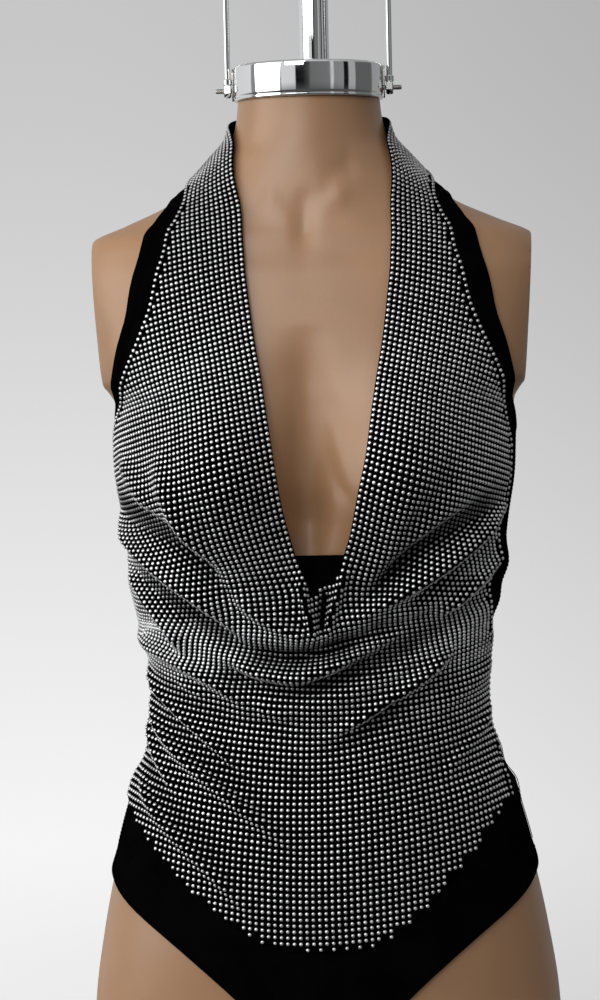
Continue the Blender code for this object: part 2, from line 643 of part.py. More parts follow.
def gusset(material):
    """The strip under the crotch, between the lower ends of the front and back panels."""
    front_z = BASE_ROWS[-1][ROW_COLUMNS.index("outer_z")]
    back_z = BACK_ROWS[-1][BACK_COLUMNS.index("edge_z")]
    grid = []
    for along in np.linspace(0.0, 1.0, GUSSET_ROWS + 1):
        width = GUSSET_MIDDLE + (GUSSET_END - GUSSET_MIDDLE) * (2 * along - 1) ** 2
        row = []
        for x in np.linspace(-width, width, GUSSET_PARTS + 1):
            start = panel_y(x, front_z, -1)
            y = start + (panel_y(x, back_z, 1) - start) * along
            top, channel = channel_size(y)
            drop = CHANNEL_CROWN * (1 - np.sqrt(1 - (x / channel) ** 2))
            row.append((x, y, top - drop - GUSSET_DROP))
        grid.append(row)
    return slab("gusset", np.array(grid), BASE_WALL, material)


def panel_y(x, z, side):
    """y of the inner face of the front (-1) or back (+1) panel, less the seam gap."""
    power = figure_column("squareness", z)
    depth = figure_column("front" if side < 0 else "back", z)
    ring = depth * (1 - (abs(x) / figure_column("half_width", z)) ** power) ** (1 / power)
    mound = mound_push(FORM_MOUNDS, np.array([x]), np.array([z]), side)[0]
    return float(side * (ring + mound + BASE_LIFT - SEAM_GAP))


def slab(name, upper, drop, material):
    """A closed strip under a grid of upper points."""
    rows, columns, _ = upper.shape
    top = upper.reshape(-1, 3)
    triangles = []
    for row in range(rows - 1):
        for col in range(columns - 1):
            a = row * columns + col
            triangles += split_quad(top, a, a + 1, a + columns + 1, a + columns)
    return two_sided(name, top, top - np.array([0.0, 0.0, drop]), triangles, material)


# ---- the chrome cap, post and bail ----------------------------------------------------

def neck_cap(material):
    """The round cap on the neck, drilled for the two bolts."""
    bottom = NECK_TOP + SEAM_GAP
    top = bottom + CAP_HEIGHT
    cap = turned("neck_cap", [(CAP_RADIUS - CAP_ROUND, bottom),
                              (CAP_RADIUS, bottom + CAP_ROUND),
                              (CAP_RADIUS, top - CAP_ROUND),
                              (CAP_RADIUS - CAP_ROUND, top)], (0.0, 0.0), material, sides=36)
    for side, word in ((-1, "left"), (1, "right")):
        drill = cross_bar("drill_" + word, side * (CAP_RADIUS - BOLT_DEPTH - SEAM_GAP),
                          side * (CAP_RADIUS + DRILL_PAST), HOLE_RADIUS, None)
        boolean(cap, as_helper(drill))
    return cap


def neck_post(material):
    """The upright post on the cap."""
    foot = NECK_TOP + CAP_HEIGHT + 2 * SEAM_GAP
    return turned("neck_post", [(POST_RADIUS, foot), (POST_RADIUS, POST_TOP - CAP_ROUND),
                                (POST_RADIUS - CAP_ROUND, POST_TOP)],
                  (POST_X, 0.0), material, sides=24)


def lug(side, word, material):
    """The thin plate between the cap and the bail's collar."""
    inner = CAP_RADIUS + SEAM_GAP
    x = sorted((side * inner, side * (inner + LUG_THICKNESS)))
    outline = ((-1, -LUG_DROP), (1, -LUG_DROP), (1, LUG_RISE), (-1, LUG_RISE))
    rings = [[np.array([plane, y * LUG_WIDTH / 2, BOLT_Z + z]) for y, z in outline]
             for plane in x]
    plate = loft("lug_" + word, rings, material)
    drill = cross_bar("lug_drill_" + word, side * (inner - DRILL_PAST),
                      side * (inner + LUG_THICKNESS + DRILL_PAST), HOLE_RADIUS, None)
    boolean(plate, as_helper(drill))
    return plate


def bolt(side, word, material):
    """The stud that the bail swings on."""
    return cross_bar("bolt_" + word, side * (CAP_RADIUS - BOLT_DEPTH), side * BOLT_END,
                     BOLT_RADIUS, material)


def bail_path():
    """Centre line of the bail's rod and its radius, from the left end to the right."""
    ferrule = [(BOLT_Z, BAIL_ROD_RADIUS), (FERRULE_LOW - FERRULE_EDGE, BAIL_ROD_RADIUS),
               (FERRULE_LOW, FERRULE_RADIUS), (FERRULE_HIGH - FERRULE_EDGE, FERRULE_RADIUS),
               (FERRULE_HIGH, BAIL_ROD_RADIUS)]
    left = [(np.array([-BAIL_X, 0.0, z]), radius) for z, radius in ferrule]
    arch = [(np.array([-BAIL_X * np.cos(a), 0.0, BAIL_SHOULDER + BAIL_X * np.sin(a)]),
             BAIL_ROD_RADIUS) for a in np.linspace(0.0, pi, 13)]
    right = [(np.array([BAIL_X, 0.0, z]), radius) for z, radius in reversed(ferrule)]
    return left + arch + right


def bail(material):
    """The bail: two rods joined by an arch, with a collar on each bolt."""
    path = bail_path()
    rings = []
    for i, (centre, radius) in enumerate(path):
        ahead = path[min(i + 1, len(path) - 1)][0] - path[max(i - 1, 0)][0]
        ahead = ahead / np.linalg.norm(ahead)
        rings.append(circle(centre, radius, 8, Y_AXIS, np.cross(ahead, Y_AXIS)))
    rod = loft("bail", rings, material)
    for side, word in ((-1, "left"), (1, "right")):
        near = BAIL_X - COLLAR_THICKNESS / 2
        collar = cross_bar("collar_" + word, side * near, side * (near + COLLAR_THICKNESS),
                           COLLAR_RADIUS, None, sides=12)
        drill = cross_bar("collar_drill_" + word, side * (near - DRILL_PAST),
                          side * (near + COLLAR_THICKNESS + DRILL_PAST), HOLE_RADIUS, None)
        boolean(rod, as_helper(collar), "UNION")
        boolean(rod, as_helper(drill))
    return rod


def build():
    """Make every piece."""
    for old in list(bpy.data.objects):
        bpy.data.objects.remove(old, do_unlink=True)
    skin_paint = finish("form skin", (0.60, 0.42, 0.29), 0.0, 0.45)
    chrome = finish("chrome", (0.80, 0.80, 0.81), 1.0, 0.08)
    black_cloth = finish("black cloth", (0.010, 0.010, 0.012), 0.0, 0.85)
    stoned_cloth = finish("stoned cloth", (0.28, 0.28, 0.29), 0.0, 0.50)
    dress_form(skin_paint)
    front_panel("base_front", BASE_ROWS, BASE_COLUMNS, BASE_NOTCH, base_inside, BASE_WALL,
                black_cloth)
    front_panel("front_overlay", OVERLAY_ROWS, OVERLAY_COLUMNS, OVERLAY_NOTCH, overlay_inside,
                OVERLAY_WALL, stoned_cloth, folded=True)
    back_panel("base_back", black_cloth)
    gusset(black_cloth)
    neck_cap(chrome)
    neck_post(chrome)
    bail(chrome)
    for side, word in ((-1, "left"), (1, "right")):
        lug(side, word, chrome)
        bolt(side, word, chrome)


if __name__ == "__main__":
    build()
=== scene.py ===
"""Looks of a rhinestone halter bodysuit worn on a dress form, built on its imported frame.

Metres, +Z up; the tables give their lengths in millimetres. The front faces -Y, and +X is on
the right for someone who looks at the front. Cloth is placed by its turn round the upright
axis (0 at the front, positive towards +X, half a turn at the back) and its height z, and
lifted off the form along the surface's normal.
"""
from math import cos, pi, radians, sin, tau

import bmesh
import bpy
import numpy as np
from bpy.props import FloatProperty, FloatVectorProperty, IntProperty, PointerProperty
from bpy.types import Operator, Panel, PropertyGroup
from mathutils import Matrix, Vector


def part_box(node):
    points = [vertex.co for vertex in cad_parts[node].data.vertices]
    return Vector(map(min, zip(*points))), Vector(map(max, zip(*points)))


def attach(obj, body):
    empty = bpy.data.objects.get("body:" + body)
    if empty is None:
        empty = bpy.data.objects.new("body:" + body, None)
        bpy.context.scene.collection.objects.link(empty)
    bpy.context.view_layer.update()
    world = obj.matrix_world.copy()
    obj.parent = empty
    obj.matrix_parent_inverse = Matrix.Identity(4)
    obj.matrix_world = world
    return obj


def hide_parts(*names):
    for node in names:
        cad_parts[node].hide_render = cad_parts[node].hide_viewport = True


bl_info = {
    "name": "Rhinestone Bodysuit",
    "version": (1, 0, 0),
    "blender": (4, 5, 0),
    "location": "3D View > Sidebar > Bodysuit",
    "description": "Cloth, rhinestones, form finish and chrome fittings of a halter bodysuit",
    "category": "Object",
}

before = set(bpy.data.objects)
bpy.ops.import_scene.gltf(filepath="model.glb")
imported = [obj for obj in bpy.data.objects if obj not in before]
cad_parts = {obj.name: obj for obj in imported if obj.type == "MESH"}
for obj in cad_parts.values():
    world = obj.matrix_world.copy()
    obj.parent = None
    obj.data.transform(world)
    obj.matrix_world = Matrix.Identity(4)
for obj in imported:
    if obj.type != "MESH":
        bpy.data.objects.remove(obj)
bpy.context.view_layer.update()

CAP_LOW, CAP_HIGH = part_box("neck_cap")
POST_LOW, POST_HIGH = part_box("neck_post")
BAIL_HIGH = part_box("bail")[1]
BOLT_LOW, BOLT_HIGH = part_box("bolt_right")
LUG_LOW, LUG_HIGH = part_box("lug_right")
BOLT_LINE = (BOLT_LOW[2] + BOLT_HIGH[2]) / 2


def metres(columns, lengths, rows):
    """A table's rows, with the columns that are lengths turned from millimetres to metres."""
    places = [columns.index(name) for name in lengths.split()]
    return tuple(tuple(value / 1000 if place in places else value
                       for place, value in enumerate(row)) for row in rows)


# ---- sizes of the cloth and the form --------------------------------------------------

BASE_LIFT = 0.0015           # inner face of the black base layer above the form
BASE_WALL = 0.0010
HEM_FADE = 0.0012            # distance over which a turned edge's thickness fades
OVERLAY_LIFT = 0.0031        # inner face of the overlay above the form
OVERLAY_WALL = 0.0014
OVERLAY_THIN = 0.0008        # the wall that shows at the overlay's edges
DRAPE_ROUND = 0.0008         # how softly the overlay comes to rest on the base layer
TURN_LENGTH = 0.125          # metres of cloth to one radian of turn, for placing folds
HEM_EASE = 1.15              # how late the hem starts to climb from the middle
PROBE = 0.0010               # step over a surface from which its normal is found
TINY = 1e-6                  # keeps divisors off zero and rows on their own side of a notch
FOLD_BEGIN = 0.3             # height of a fold at its start, as a share of its full height
FOLD_RISE = 0.2              # share of its length over which it grows
FOLD_FALL = 0.3              # share over which it dies away
FOLD_TAIL = 1.05             # it dies away just past its last point
FOLD_REACH = 2.6             # widths past which a fold adds nothing
FOLD_STEPS = 33              # points along a fold from which distances are taken
RELIEF_RISE = 0.7            # share of its length over which a hollow of the form grows

SHOULDER_CUT_X = 0.1535      # half-width between the flat shoulder cuts, at the height below
SHOULDER_CUT_Z = 0.573
SHOULDER_CUT_LEAN = 0.0615   # the cuts lean outwards by this much for each metre of height
ARM_ROOT_Z = 0.530           # the cuts reach no lower than this
NECK_TOP = 0.7765

CHANNEL_TOP = 0.0700         # height of the arch between the thighs, at its lowest
CHANNEL_RISE = 0.0330        # the arch climbs this much towards its front and back mouths
CHANNEL_REACH = 0.1050       # distance from the arch's lowest point to a mouth
CHANNEL_CENTRE = 0.0100      # y of the arch's lowest point
CHANNEL_WIDTH = 0.0300       # half-width in the middle
CHANNEL_FLARE = 0.0110       # how much wider each side gets at a mouth
CHANNEL_CROWN = 0.0340       # height of the rounded top
CHANNEL_PAST = 0.0450        # how far the cutter runs on past a mouth
CHANNEL_BELOW = 0.0100       # how far it reaches under the base
CHANNEL_RINGS = 31           # sections of the cutter

GUSSET_MIDDLE = 0.0215       # half-width halfway along
GUSSET_END = 0.0310          # half-width at the front and back seams
GUSSET_DROP = 0.0008         # clearance under the channel's arch
GUSSET_CELLS = (56, 16)      # along and across
SEAM_GAP = 0.0003

FORM_SIDES = 168
FORM_LEVELS = 280
FORM_SMOOTH = 40             # degrees; sharper edges of the form stay sharp
METAL_SMOOTH = 35
SIDES = ((-1, "left"), (1, "right"))

# Level sections of the form. front and back are depths from the axis; squareness is the
# exponent of the superellipse, 2 for an ellipse.
FIGURE_COLUMNS = ("z", "half_width", "front", "back", "squareness")
FIGURE_ROWS = metres(FIGURE_COLUMNS, "z half_width front back", (
    (0, 172, 95, 110, 2.30),
    (70, 176, 92, 116, 2.30),
    (115, 173.5, 95, 117, 2.28),
    (165, 166, 98, 112, 2.25),
    (215, 155.5, 98, 100, 2.22),
    (262, 142.5, 94, 90, 2.20),
    (296, 127.5, 88.5, 82, 2.20),
    (340, 120.5, 84, 78, 2.20),
    (385, 123.5, 86, 82, 2.20),
    (430, 132.5, 91, 90, 2.22),
    (470, 138, 96, 98, 2.25),
    (507, 143.5, 98, 102, 2.30),
    (545, 145, 96, 104, 2.35),
    (558, 146.5, 94.5, 105, 2.40),
    (566, 151, 93.5, 105.5, 2.42),
    (575, 158, 92, 106, 2.45),
    (600, 163.5, 88, 105, 2.50),
    (650, 170, 76, 99, 2.50),
    (666, 167, 70, 95.5, 2.45),
    (678, 160, 66, 92.5, 2.35),
    (688, 137, 62.5, 88.5, 2.20),
    (703, 104, 58.5, 83, 2.15),
    (718, 84.5, 56.5, 77, 2.10),
    (733, 70, 54.5, 70, 2.05),
    (748, 57.5, 53, 62, 2.00),
    (765, 53, 51.5, 57, 2.00),
    (776.5, 51.8, 51, 55, 2.00),
))

# Mounds on the sections: breasts in front, seat behind. lift is how far the mound stands
# out, side is -1 for the front and +1 for the back; each row is used at +x and at -x.
MOUND_COLUMNS = ("x", "z", "lift", "spread_x", "spread_up", "spread_down", "side")
FORM_MOUNDS = metres(MOUND_COLUMNS, "x z lift spread_x spread_up spread_down", (
    (72, 505, 38, 42, 62, 36, -1),
    (68, 120, 16.2, 48, 60, 50, +1),
))

# Breasts under hanging cloth: a little wider, and the cloth falls straighter below them.
DRAPE_MOUNDS = metres(MOUND_COLUMNS, "x z lift spread_x spread_up spread_down", (
    (72, 505, 39, 47, 64, 66, -1),
    (112, 490, 5.5, 26, 60, 60, -1),
    (12, 378, 6.4, 60, 42, 40, -1),
    (68, 120, 16.2, 48, 60, 50, +1),
))

# Each fold starts at a, passes b and ends at c; turns are in degrees, left of the photo
# negative. A positive height is a ridge, a negative one a trough.
FOLD_COLUMNS = ("turn_a", "z_a", "turn_b", "z_b", "turn_c", "z_c", "height", "width")
FOLD_ROWS = metres(FOLD_COLUMNS, "z_a z_b z_c height width", (
    (-54, 520, -43, 457, -27, 419, +8, 7.5),        # bust to the foot of the V, left
    (-32, 425, -16, 403, +2, 393, +7.5, 6),
    (-86, 496, -52, 462, -32, 421, -14, 9),         # under the left bust
    (-71, 521, -64, 502, -60, 485, +5, 8),
    (-82, 477, -55, 439, -38, 413, +10, 7),
    (-44, 422, -40, 408, -32, 395, +3, 5),
    (-82, 450, -53, 412, -30, 384, -11.5, 8),
    (-82, 446, -63, 409, -56, 379, +10, 7),
    (-86, 389, -51, 368, -32, 346, +7.5, 5.5),
    (-26, 344, -19, 341, -12, 340, +3, 5),
    (-80, 368, -54, 344, -38, 332, -4.5, 6.5),
    (-62, 359, -55, 354, -49, 350, +2.5, 4.5),
    (-85, 362, -52, 323, -28, 290, +7, 5),
    (-78, 348, -46, 307, -22, 274, -6, 7),
    (-84, 340, -42, 285, -6, 242, +7.5, 5.5),
    (-86, 328, -67, 295, -54, 272, +5, 5),
    (-82, 302, -54, 263, -32, 221, -6, 6.5),
    (-80, 290, -48, 239, -26, 196, +6, 5),
    (-30, 384, -4, 382, +32, 400, -14.5, 7),        # dark swag under the V
    (+25, 398, +40, 402, +53, 410, -5.5, 6),
    (-42, 370, -25, 361, -4, 356, -9, 6.5),
    (-10, 356, +24, 373, +56, 402, -13.5, 7.5),     # second swag
    (-36, 374, -8, 367, +18, 381, +7, 6),
    (+56, 379, +34, 350, +4, 319, +8, 5),
    (+38, 347, +25, 330, +4, 313, -9, 8),
    (-22, 300, -5, 291, +14, 300, -3, 5),
    (-41, 331, -26, 333, -6, 328, -2, 5),
    (+50, 514, +43, 488, +32, 452, -4, 8),          # bust to the V, right
    (+70, 489, +46, 460, +22, 419, -14, 8),         # under the right bust
    (+72, 480, +46, 441, +14, 403, +8.5, 6),
    (+75, 472, +57, 444, +38, 413, -5, 5.5),
    (+78, 456, +62, 427, +51, 406, +5.5, 4.8),
    (+79, 440, +64, 413, +48, 395, -4.5, 6.5),
    (+82, 366, +66, 352, +48, 334, +2.5, 8),
    (+82, 330, +61, 307, +51, 289, +4, 5),
    (+76, 328, +55, 305, +43, 286, -3, 5.5),
    (+83, 298, +68, 282, +52, 268, +3, 8),
    (-6, 438, -3, 414, +1, 392, +8.5, 4.8),         # the V's edges lap over its foot
    (+15, 446, +9, 418, +4, 393, +8, 4.8),
    (+5, 428, +4, 411, +3, 397, -8, 5),             # and the cloth between dips
    (-88, 440, -88, 405, -86, 370, +4, 26),         # cloth stands off the waist
    (+76, 440, +78, 405, +82, 370, +4, 26),
))

# Relief of the form's skin where the neckline leaves it bare.
RELIEF_ROWS = metres(FOLD_COLUMNS, "z_a z_b z_c height width", (
    (-2, 615, -2, 520, -3, 430, -17.5, 19.5),       # between the breasts
    (+6, 566, +8, 515, +18, 484, -2.5, 6.5),
    (-3, 712, -3, 692, -3, 664, -2.4, 13.5),        # hollow of the throat
    (+4, 688, +15, 701, +31, 711, +1.6, 9.5),       # collarbones
    (-10, 690, -20, 699, -32, 708, +1.4, 9.5),
    (+8, 716, +22, 724, +38, 730, -1.8, 11),
))

# Folds of the base layer where it shows past the overlay, at the sides.
BASE_FOLD_ROWS = metres(FOLD_COLUMNS, "z_a z_b z_c height width", (
    (+66, 454, +84, 440, +98, 432, +4.5, 12),
    (+70, 422, +84, 412, +98, 407, +3, 11),
    (+76, 308, +88, 298, +99, 292, +3, 9.5),
    (+75, 284, +87, 274, +98, 268, +3, 9.5),
    (-98, 292, -88, 282, -78, 268, +3, 10),
))

# Rows across the cloth, each from its outer edge to an inner line on either side. Above the
# notch row the inner lines are the neckline's edges; below it they only guide the weave and
# the cloth runs on between them. Turns are in degrees, the left ones taken as negative.
# sweep bends a row from straight (0) to the U of the hem (1); parts cuts the next stretch.
ROW_COLUMNS = ("left_turn", "left_z", "right_turn", "right_z",
               "outer_left", "outer_right", "outer_z", "sweep", "parts")
OVERLAY_ROWS = metres(ROW_COLUMNS, "left_z right_z outer_z", (
    (179.87, 764, 179.87, 764, 179.87, 179.87, 735, 0.0, 2),
    (150, 765, 150, 765, 150, 150, 732, 0.0, 2),
    (120, 765, 120, 765, 120, 120, 728, 0.0, 2),
    (97, 762, 97, 762, 97, 97, 722, 0.0, 2),
    (76, 756, 79, 756, 81, 81, 714, 0.0, 2),
    (58, 741, 63, 741, 72, 72, 706, 0.0, 2),
    (48, 719, 54, 719, 66, 66, 696, 0.0, 1),
    (39, 693, 46, 693, 62, 62, 681, 0.0, 1),
    (33, 664, 40, 664, 59.5, 59.5, 659, 0.0, 1),
    (28, 634, 35, 634, 59, 59, 632, 0.0, 1),
    (24, 604, 31, 604, 61, 61, 606, 0.0, 1),
    (20.5, 576, 27.5, 576, 65, 65, 582, 0.0, 2),
    (18, 548, 25, 550, 71, 70, 560, 0.0, 2),
    (15.5, 518, 23, 524, 79, 73, 542, 0.0, 2),
    (13, 490, 20, 500, 85, 76, 522, 0.0, 3),
    (8, 456, 16.5, 471, 87, 76, 490, 0.0, 4),
    (2, 424, 12, 442, 88, 73, 455, 0.0, 4),
    (2, 395, 11, 405, 88, 72, 425, 0.1, 5),
    (3, 360, 11, 364, 89, 76, 396, 0.3, 5),
    (5, 325, 12, 327, 89, 82, 368, 0.5, 5),
    (7, 285, 13, 286, 89, 84, 338, 0.7, 5),
    (8, 245, 13, 245, 88, 82, 310, 0.85, 4),
    (9, 205, 13, 205, 87, 79, 286, 0.95, 4),
    (9, 171, 13, 171, 86, 78, 266, 1.0, 1),
))
OVERLAY_NOTCH = 16
OVERLAY_COLUMNS = (13, 4, 11)    # left of the V, across it, right of it
OVERLAY_FINER = (3, 4)           # cells to each cell of the table, down and across

BASE_ROWS = metres(ROW_COLUMNS, "left_z right_z outer_z", (
    (179.87, 761, 179.87, 761, 179.87, 179.87, 727, 0.0, 2),
    (150, 762, 150, 762, 150, 150, 723, 0.0, 2),
    (120, 762, 120, 762, 120, 120, 718, 0.0, 2),
    (98, 759, 98, 759, 98, 98, 711.5, 0.0, 2),
    (80, 753, 82, 753, 85, 85, 705.5, 0.0, 2),
    (61, 739, 66, 739, 76, 76, 699, 0.0, 2),
    (51, 716, 57, 716, 70, 70, 688, 0.0, 2),
    (42, 690, 49, 690, 66.3, 66.3, 673, 0.0, 1),
    (36, 661, 43, 661, 64.8, 64.8, 651, 0.0, 1),
    (31, 632, 38, 632, 64.8, 64.8, 627, 0.0, 1),
    (27, 602, 34, 602, 67, 67, 602, 0.0, 1),
    (23.5, 575, 30.5, 575, 70, 70, 580, 0.0, 2),
    (21, 547, 28, 549, 77, 77, 558, 0.0, 2),
    (18.5, 518, 26, 522, 87, 87, 541, 0.0, 3),
    (15.5, 487, 22.5, 490, 94.9, 94.9, 530, 0.0, 3),
    (10.5, 453, 17, 453, 94.9, 94.9, 480, 0.0, 2),
    (9, 415, 13, 415, 94.9, 94.9, 440, 0.2, 2),
    (9, 375, 11, 375, 94.9, 94.9, 398, 0.3, 2),
    (9, 335, 10, 335, 94.9, 94.9, 356, 0.4, 2),
    (9, 295, 9, 295, 94.9, 94.9, 314, 0.5, 2),
    (9, 255, 9, 255, 94.9, 94.9, 272, 0.6, 2),
    (9, 215, 9, 215, 94.9, 94.9, 222, 0.7, 2),
    (8, 185, 8, 185, 78, 78, 205, 0.8, 2),
    (7, 160, 7, 160, 60, 60, 182, 0.9, 2),
    (6, 135, 6, 135, 42, 42, 150, 1.0, 2),
    (5, 114, 5, 114, 28, 28, 120, 1.0, 2),
    (4, 96.5, 4, 96.5, 19.5, 19.5, 96.5, 1.0, 1),
))
BASE_NOTCH = 15
BASE_COLUMNS = (9, 3, 9)
BASE_FINER = 3
ARM_ROW = 14                 # last row whose outer edge is the armhole's
LEG_ROW = 21                 # first row whose outer edge is the leg opening's

BACK_FINER = 4
BACK_ACROSS = 72
BACK_LEG_TOP = 0.222         # the back's leg openings begin below this height
EDGE_FINER = 4               # rows to each row of the table, along an edge that is followed

# The back panel's rows run from seam to seam and dip to mid_z at the middle of the back.
BACK_COLUMNS = ("edge_turn", "edge_z", "mid_z", "parts")
BACK_ROWS = metres(BACK_COLUMNS, "edge_z mid_z", (
    (95.1, 532, 452, 2),
    (95.1, 480, 414, 2),
    (95.1, 440, 385, 2),
    (95.1, 398, 350, 2),
    (95.1, 356, 318, 2),
    (95.1, 314, 285, 2),
    (95.1, 272, 252, 2),
    (95.1, 222, 215, 2),
    (108, 196, 185, 1),
    (120, 168, 160, 1),
    (132, 143, 138, 1),
    (146, 121, 118, 1),
    (161, 100.5, 100.5, 1),
))

# Weave lines of the overlay: from the neckline's edge at row "at" of the overlay's table, a
# line of rhinestones runs out to the far turn and height on each side. spacing is the share
# of the full distance between rhinestones; the straps are stretched less.
WEAVE_COLUMNS = ("at", "left_turn", "left_z", "right_turn", "right_z", "spacing")
WEAVE_ROWS = metres(WEAVE_COLUMNS, "left_z right_z", (
    (0, 179.87, 733, 179.87, 733, 0.86),
    (3, 97, 719, 97, 719, 0.86),
    (5, 74, 724, 71, 722, 0.86),
    (6, 66, 708, 67, 709, 0.86),
    (7, 60, 679, 61, 681, 0.86),
    (8, 58, 648, 59, 652, 0.87),
    (9, 58, 613, 58, 617, 0.88),
    (10, 61, 578, 60, 582, 0.88),
    (11, 68, 549, 67, 550, 0.88),
    (12, 74, 516, 71, 518, 0.90),
    (13, 82, 482, 75, 485, 0.95),
    (14, 84, 457, 78, 462, 0.98),
    (15, 85, 438, 80, 445, 1.00),
    (16, 85, 421, 83, 430, 1.00),
    (17, 86, 404, 86, 413, 1.00),
    (18, 86, 383, 86, 390, 1.00),
    (19, 86, 349, 86, 351, 1.00),
    (20, 86, 307, 86, 308, 1.00),
    (21, 70, 262, 70, 262, 1.00),
    (22, 62, 219, 60, 218, 1.00),
    (23, 56, 183, 52, 182, 1.00),
    (24, 53, 149, 49, 148, 1.00),
))

NET_OUT = 48                 # columns of rhinestones laid out from the neckline's edge
NET_MIDDLE = 8               # spaces between the two halves below the V
NET_LEVEL = 19               # row of the overlay's table from which both sides are counted
NET_UP = 156                 # rows of rhinestones above it
NET_DOWN = 48
NET_SPARE = 0.012            # the net runs on past the cloth's edge by this much
NET_SAMPLES = 1400           # places at which a neckline is measured
NET_CUTS = 170               # places at which a weave line is measured
NET_PAST = 1.7               # a weave line runs on to this many times its far point
NET_ROUNDS = 360             # rounds in which the net settles
NET_SQUEEZE = 0.74           # how close rows come where the cloth is gathered
NET_SHEAR = 0.45             # stiffness from corner to corner; along a thread it is 1
NET_BEND = 0.15              # how strongly lines of knots keep straight
NET_HASTE = 1.6              # share of its pull that a knot follows in one round
NET_TURN_STEP = 0.02         # most that a knot moves in one round, in turn and in height
NET_Z_STEP = 0.002
LINE_CHUNK = 200             # points of a line that are measured in one go
EDGE_CLEAR = 0.0013          # from a rhinestone's middle to the neckline
HEM_CLEAR = 0.0036           # and to the hem
LINE_CLEAR = 0.0032          # between the net's rhinestones and the line at an armhole

# The overlay's outer face is worked out once on a grid from MAP_LOW to MAP_HIGH.
MAP_LOW = (-pi - 0.12, 0.130)
MAP_HIGH = (pi + 0.12, 0.790)
MAP_CORNERS = (700, 460)

STONE_PROFILE = ((1.00, 0.00), (0.90, 0.38), (0.56, 0.66))    # radius and height
STONE_PAINTED_HIGHLIGHT = (0.04, 0.55, 1.0)   # painted highlight at each of those radii: bright in the middle, painted dark at the edge
STONE_SIDES = 8
STONE_SMOOTH = 50                # degrees
STONE_GROUPS = (("left", -tau, -0.62), ("middle", -0.62, 0.50), ("right", 0.50, tau))
SPARKLE_POWER = 0.6              # below 1, more stones are bright than dull
STRAP_FOOT = 0.60                # above this height the stones lose light,
STRAP_FADE = 0.07                # over this much
PAINTED_SHADE_SPARKLE = 0.5             # share of its sparkle that a stone loses to painted shade in a fold's trough
PAINTED_SHADE_DARK = 0.75               # and share by which painted shade darkens it

STITCH_PROFILE = ((-0.50, 0.03), (-0.38, 0.11), (0.0, 0.14), (0.38, 0.11), (0.50, 0.03))
STITCH_SIDES = 6
STITCH_RISE = 0.08               # how high a stitch's middle lies, as a share of its length
STITCH_COVER = 0.82              # share of the stitch spacing that shows thread
STITCH_LOOSE = 0.04              # spread of the stitches' sizes
STITCH_TILT = 0.03

# The cap's foot with its thin lip, each point by its depth inside the wall and its rise.
CAP_FOOT = ((0.0012, 0.0), (0.0003, 0.0003), (0.0, 0.0009), (0.0, 0.0016), (0.0007, 0.0020),
            (0.0007, 0.0024), (0.00035, 0.0034), (0.0, 0.0044))
CAP_TOP = (0.9, 0.6, 0.3, 0.02)  # circles on the cap's top, as shares of its radius
CAP_SIDES = 128
POST_ROUND = 0.002
ARCH_FOOT = 0.83                 # the bail's rods are straight up to this height
ROD_SIDES = 24
ARCH_RINGS = 61
FERRULE_BEVEL = 0.0003
FERRULE_LAP = 0.0004             # a ferrule's end runs down to the rod over this much
EYE_HALF = 0.0026                # half the eye's length along the bolt
EYE_RADIUS = 0.0052
EYE_FACE = 0.0042                # radius of its flat ends
EYE_BEVEL = 0.0007
EYE_TURN = 0.3
LUG_STEPS = 15
BOLT_SIDES = 20
BOLT_SMOOTH = 20
BOLT_BEVEL = 0.0002
THREAD_DEPTH = 0.00032
THREAD_FREE = 0.0006             # plain shank before and after the thread


def smooth_read(keys, values, where):
    """Read a column with a cubic through its rows that never overshoots them."""
    keys = np.asarray(keys, float)
    values = np.asarray(values, float)
    where = np.clip(np.asarray(where, float), keys[0], keys[-1])
    step = np.diff(keys)
    secant = np.diff(values) / step
    slope = np.zeros_like(values)
    turning = secant[:-1] * secant[1:] <= 0.0
    together = np.where(turning, 1.0, secant[:-1] + secant[1:])
    slope[1:-1] = np.where(turning, 0.0, 2.0 * secant[:-1] * secant[1:] / together)
    slope[0] = secant[0]
    slope[-1] = secant[-1]
    row = np.clip(np.searchsorted(keys, where, side="right") - 1, 0, len(step) - 1)
    u = (where - keys[row]) / step[row]
    start = values[row] * (1 + 2 * u) * (1 - u) ** 2 + values[row + 1] * u * u * (3 - 2 * u)
    bend = slope[row] * u * (1 - u) ** 2 - slope[row + 1] * u * u * (1 - u)
    return start + step[row] * bend


def column(columns, rows, name):
    """One named column of a table."""
    return np.array([row[columns.index(name)] for row in rows], float)


def figure_column(name, z):
    """A column of the form's sections at the heights z."""
    return smooth_read(column(FIGURE_COLUMNS, FIGURE_ROWS, "z"),
                       column(FIGURE_COLUMNS, FIGURE_ROWS, name), z)


def mound_push(mounds, x, z, side):
    """How far the mounds of one side stand out at x, z."""
    push = np.zeros_like(x)
    for mound_x, mound_z, lift, spread_x, spread_up, spread_down, mound_side in mounds:
        if mound_side != side:
            continue
        upright = np.where(z > mound_z, spread_up, spread_down)
        for centre in (mound_x, -mound_x):
            away = ((x - centre) / spread_x) ** 2 + ((z - mound_z) / upright) ** 2
            push += lift * np.exp(-away)
    return push


def ring_point(turn, z, mounds):
    """Points of the level sections, with mounds, at the given turns and heights."""
    turn, z = np.broadcast_arrays(np.asarray(turn, float), np.asarray(z, float))
    power = figure_column("squareness", z)
    depth = np.where(np.cos(turn) > 0, figure_column("front", z), figure_column("back", z))
    across = np.abs(np.sin(turn)) / figure_column("half_width", z)
    along = np.abs(np.cos(turn)) / depth
    radius = (across ** power + along ** power) ** (-1.0 / power)
    x = radius * np.sin(turn)
    y = -radius * np.cos(turn)
    facing = np.abs(np.cos(turn)) ** 0.5
    y = y - facing * np.where(np.cos(turn) > 0, mound_push(mounds, x, z, -1), 0.0)
    y = y + facing * np.where(np.cos(turn) < 0, mound_push(mounds, x, z, +1), 0.0)
    return np.stack([x, y, z], axis=-1)


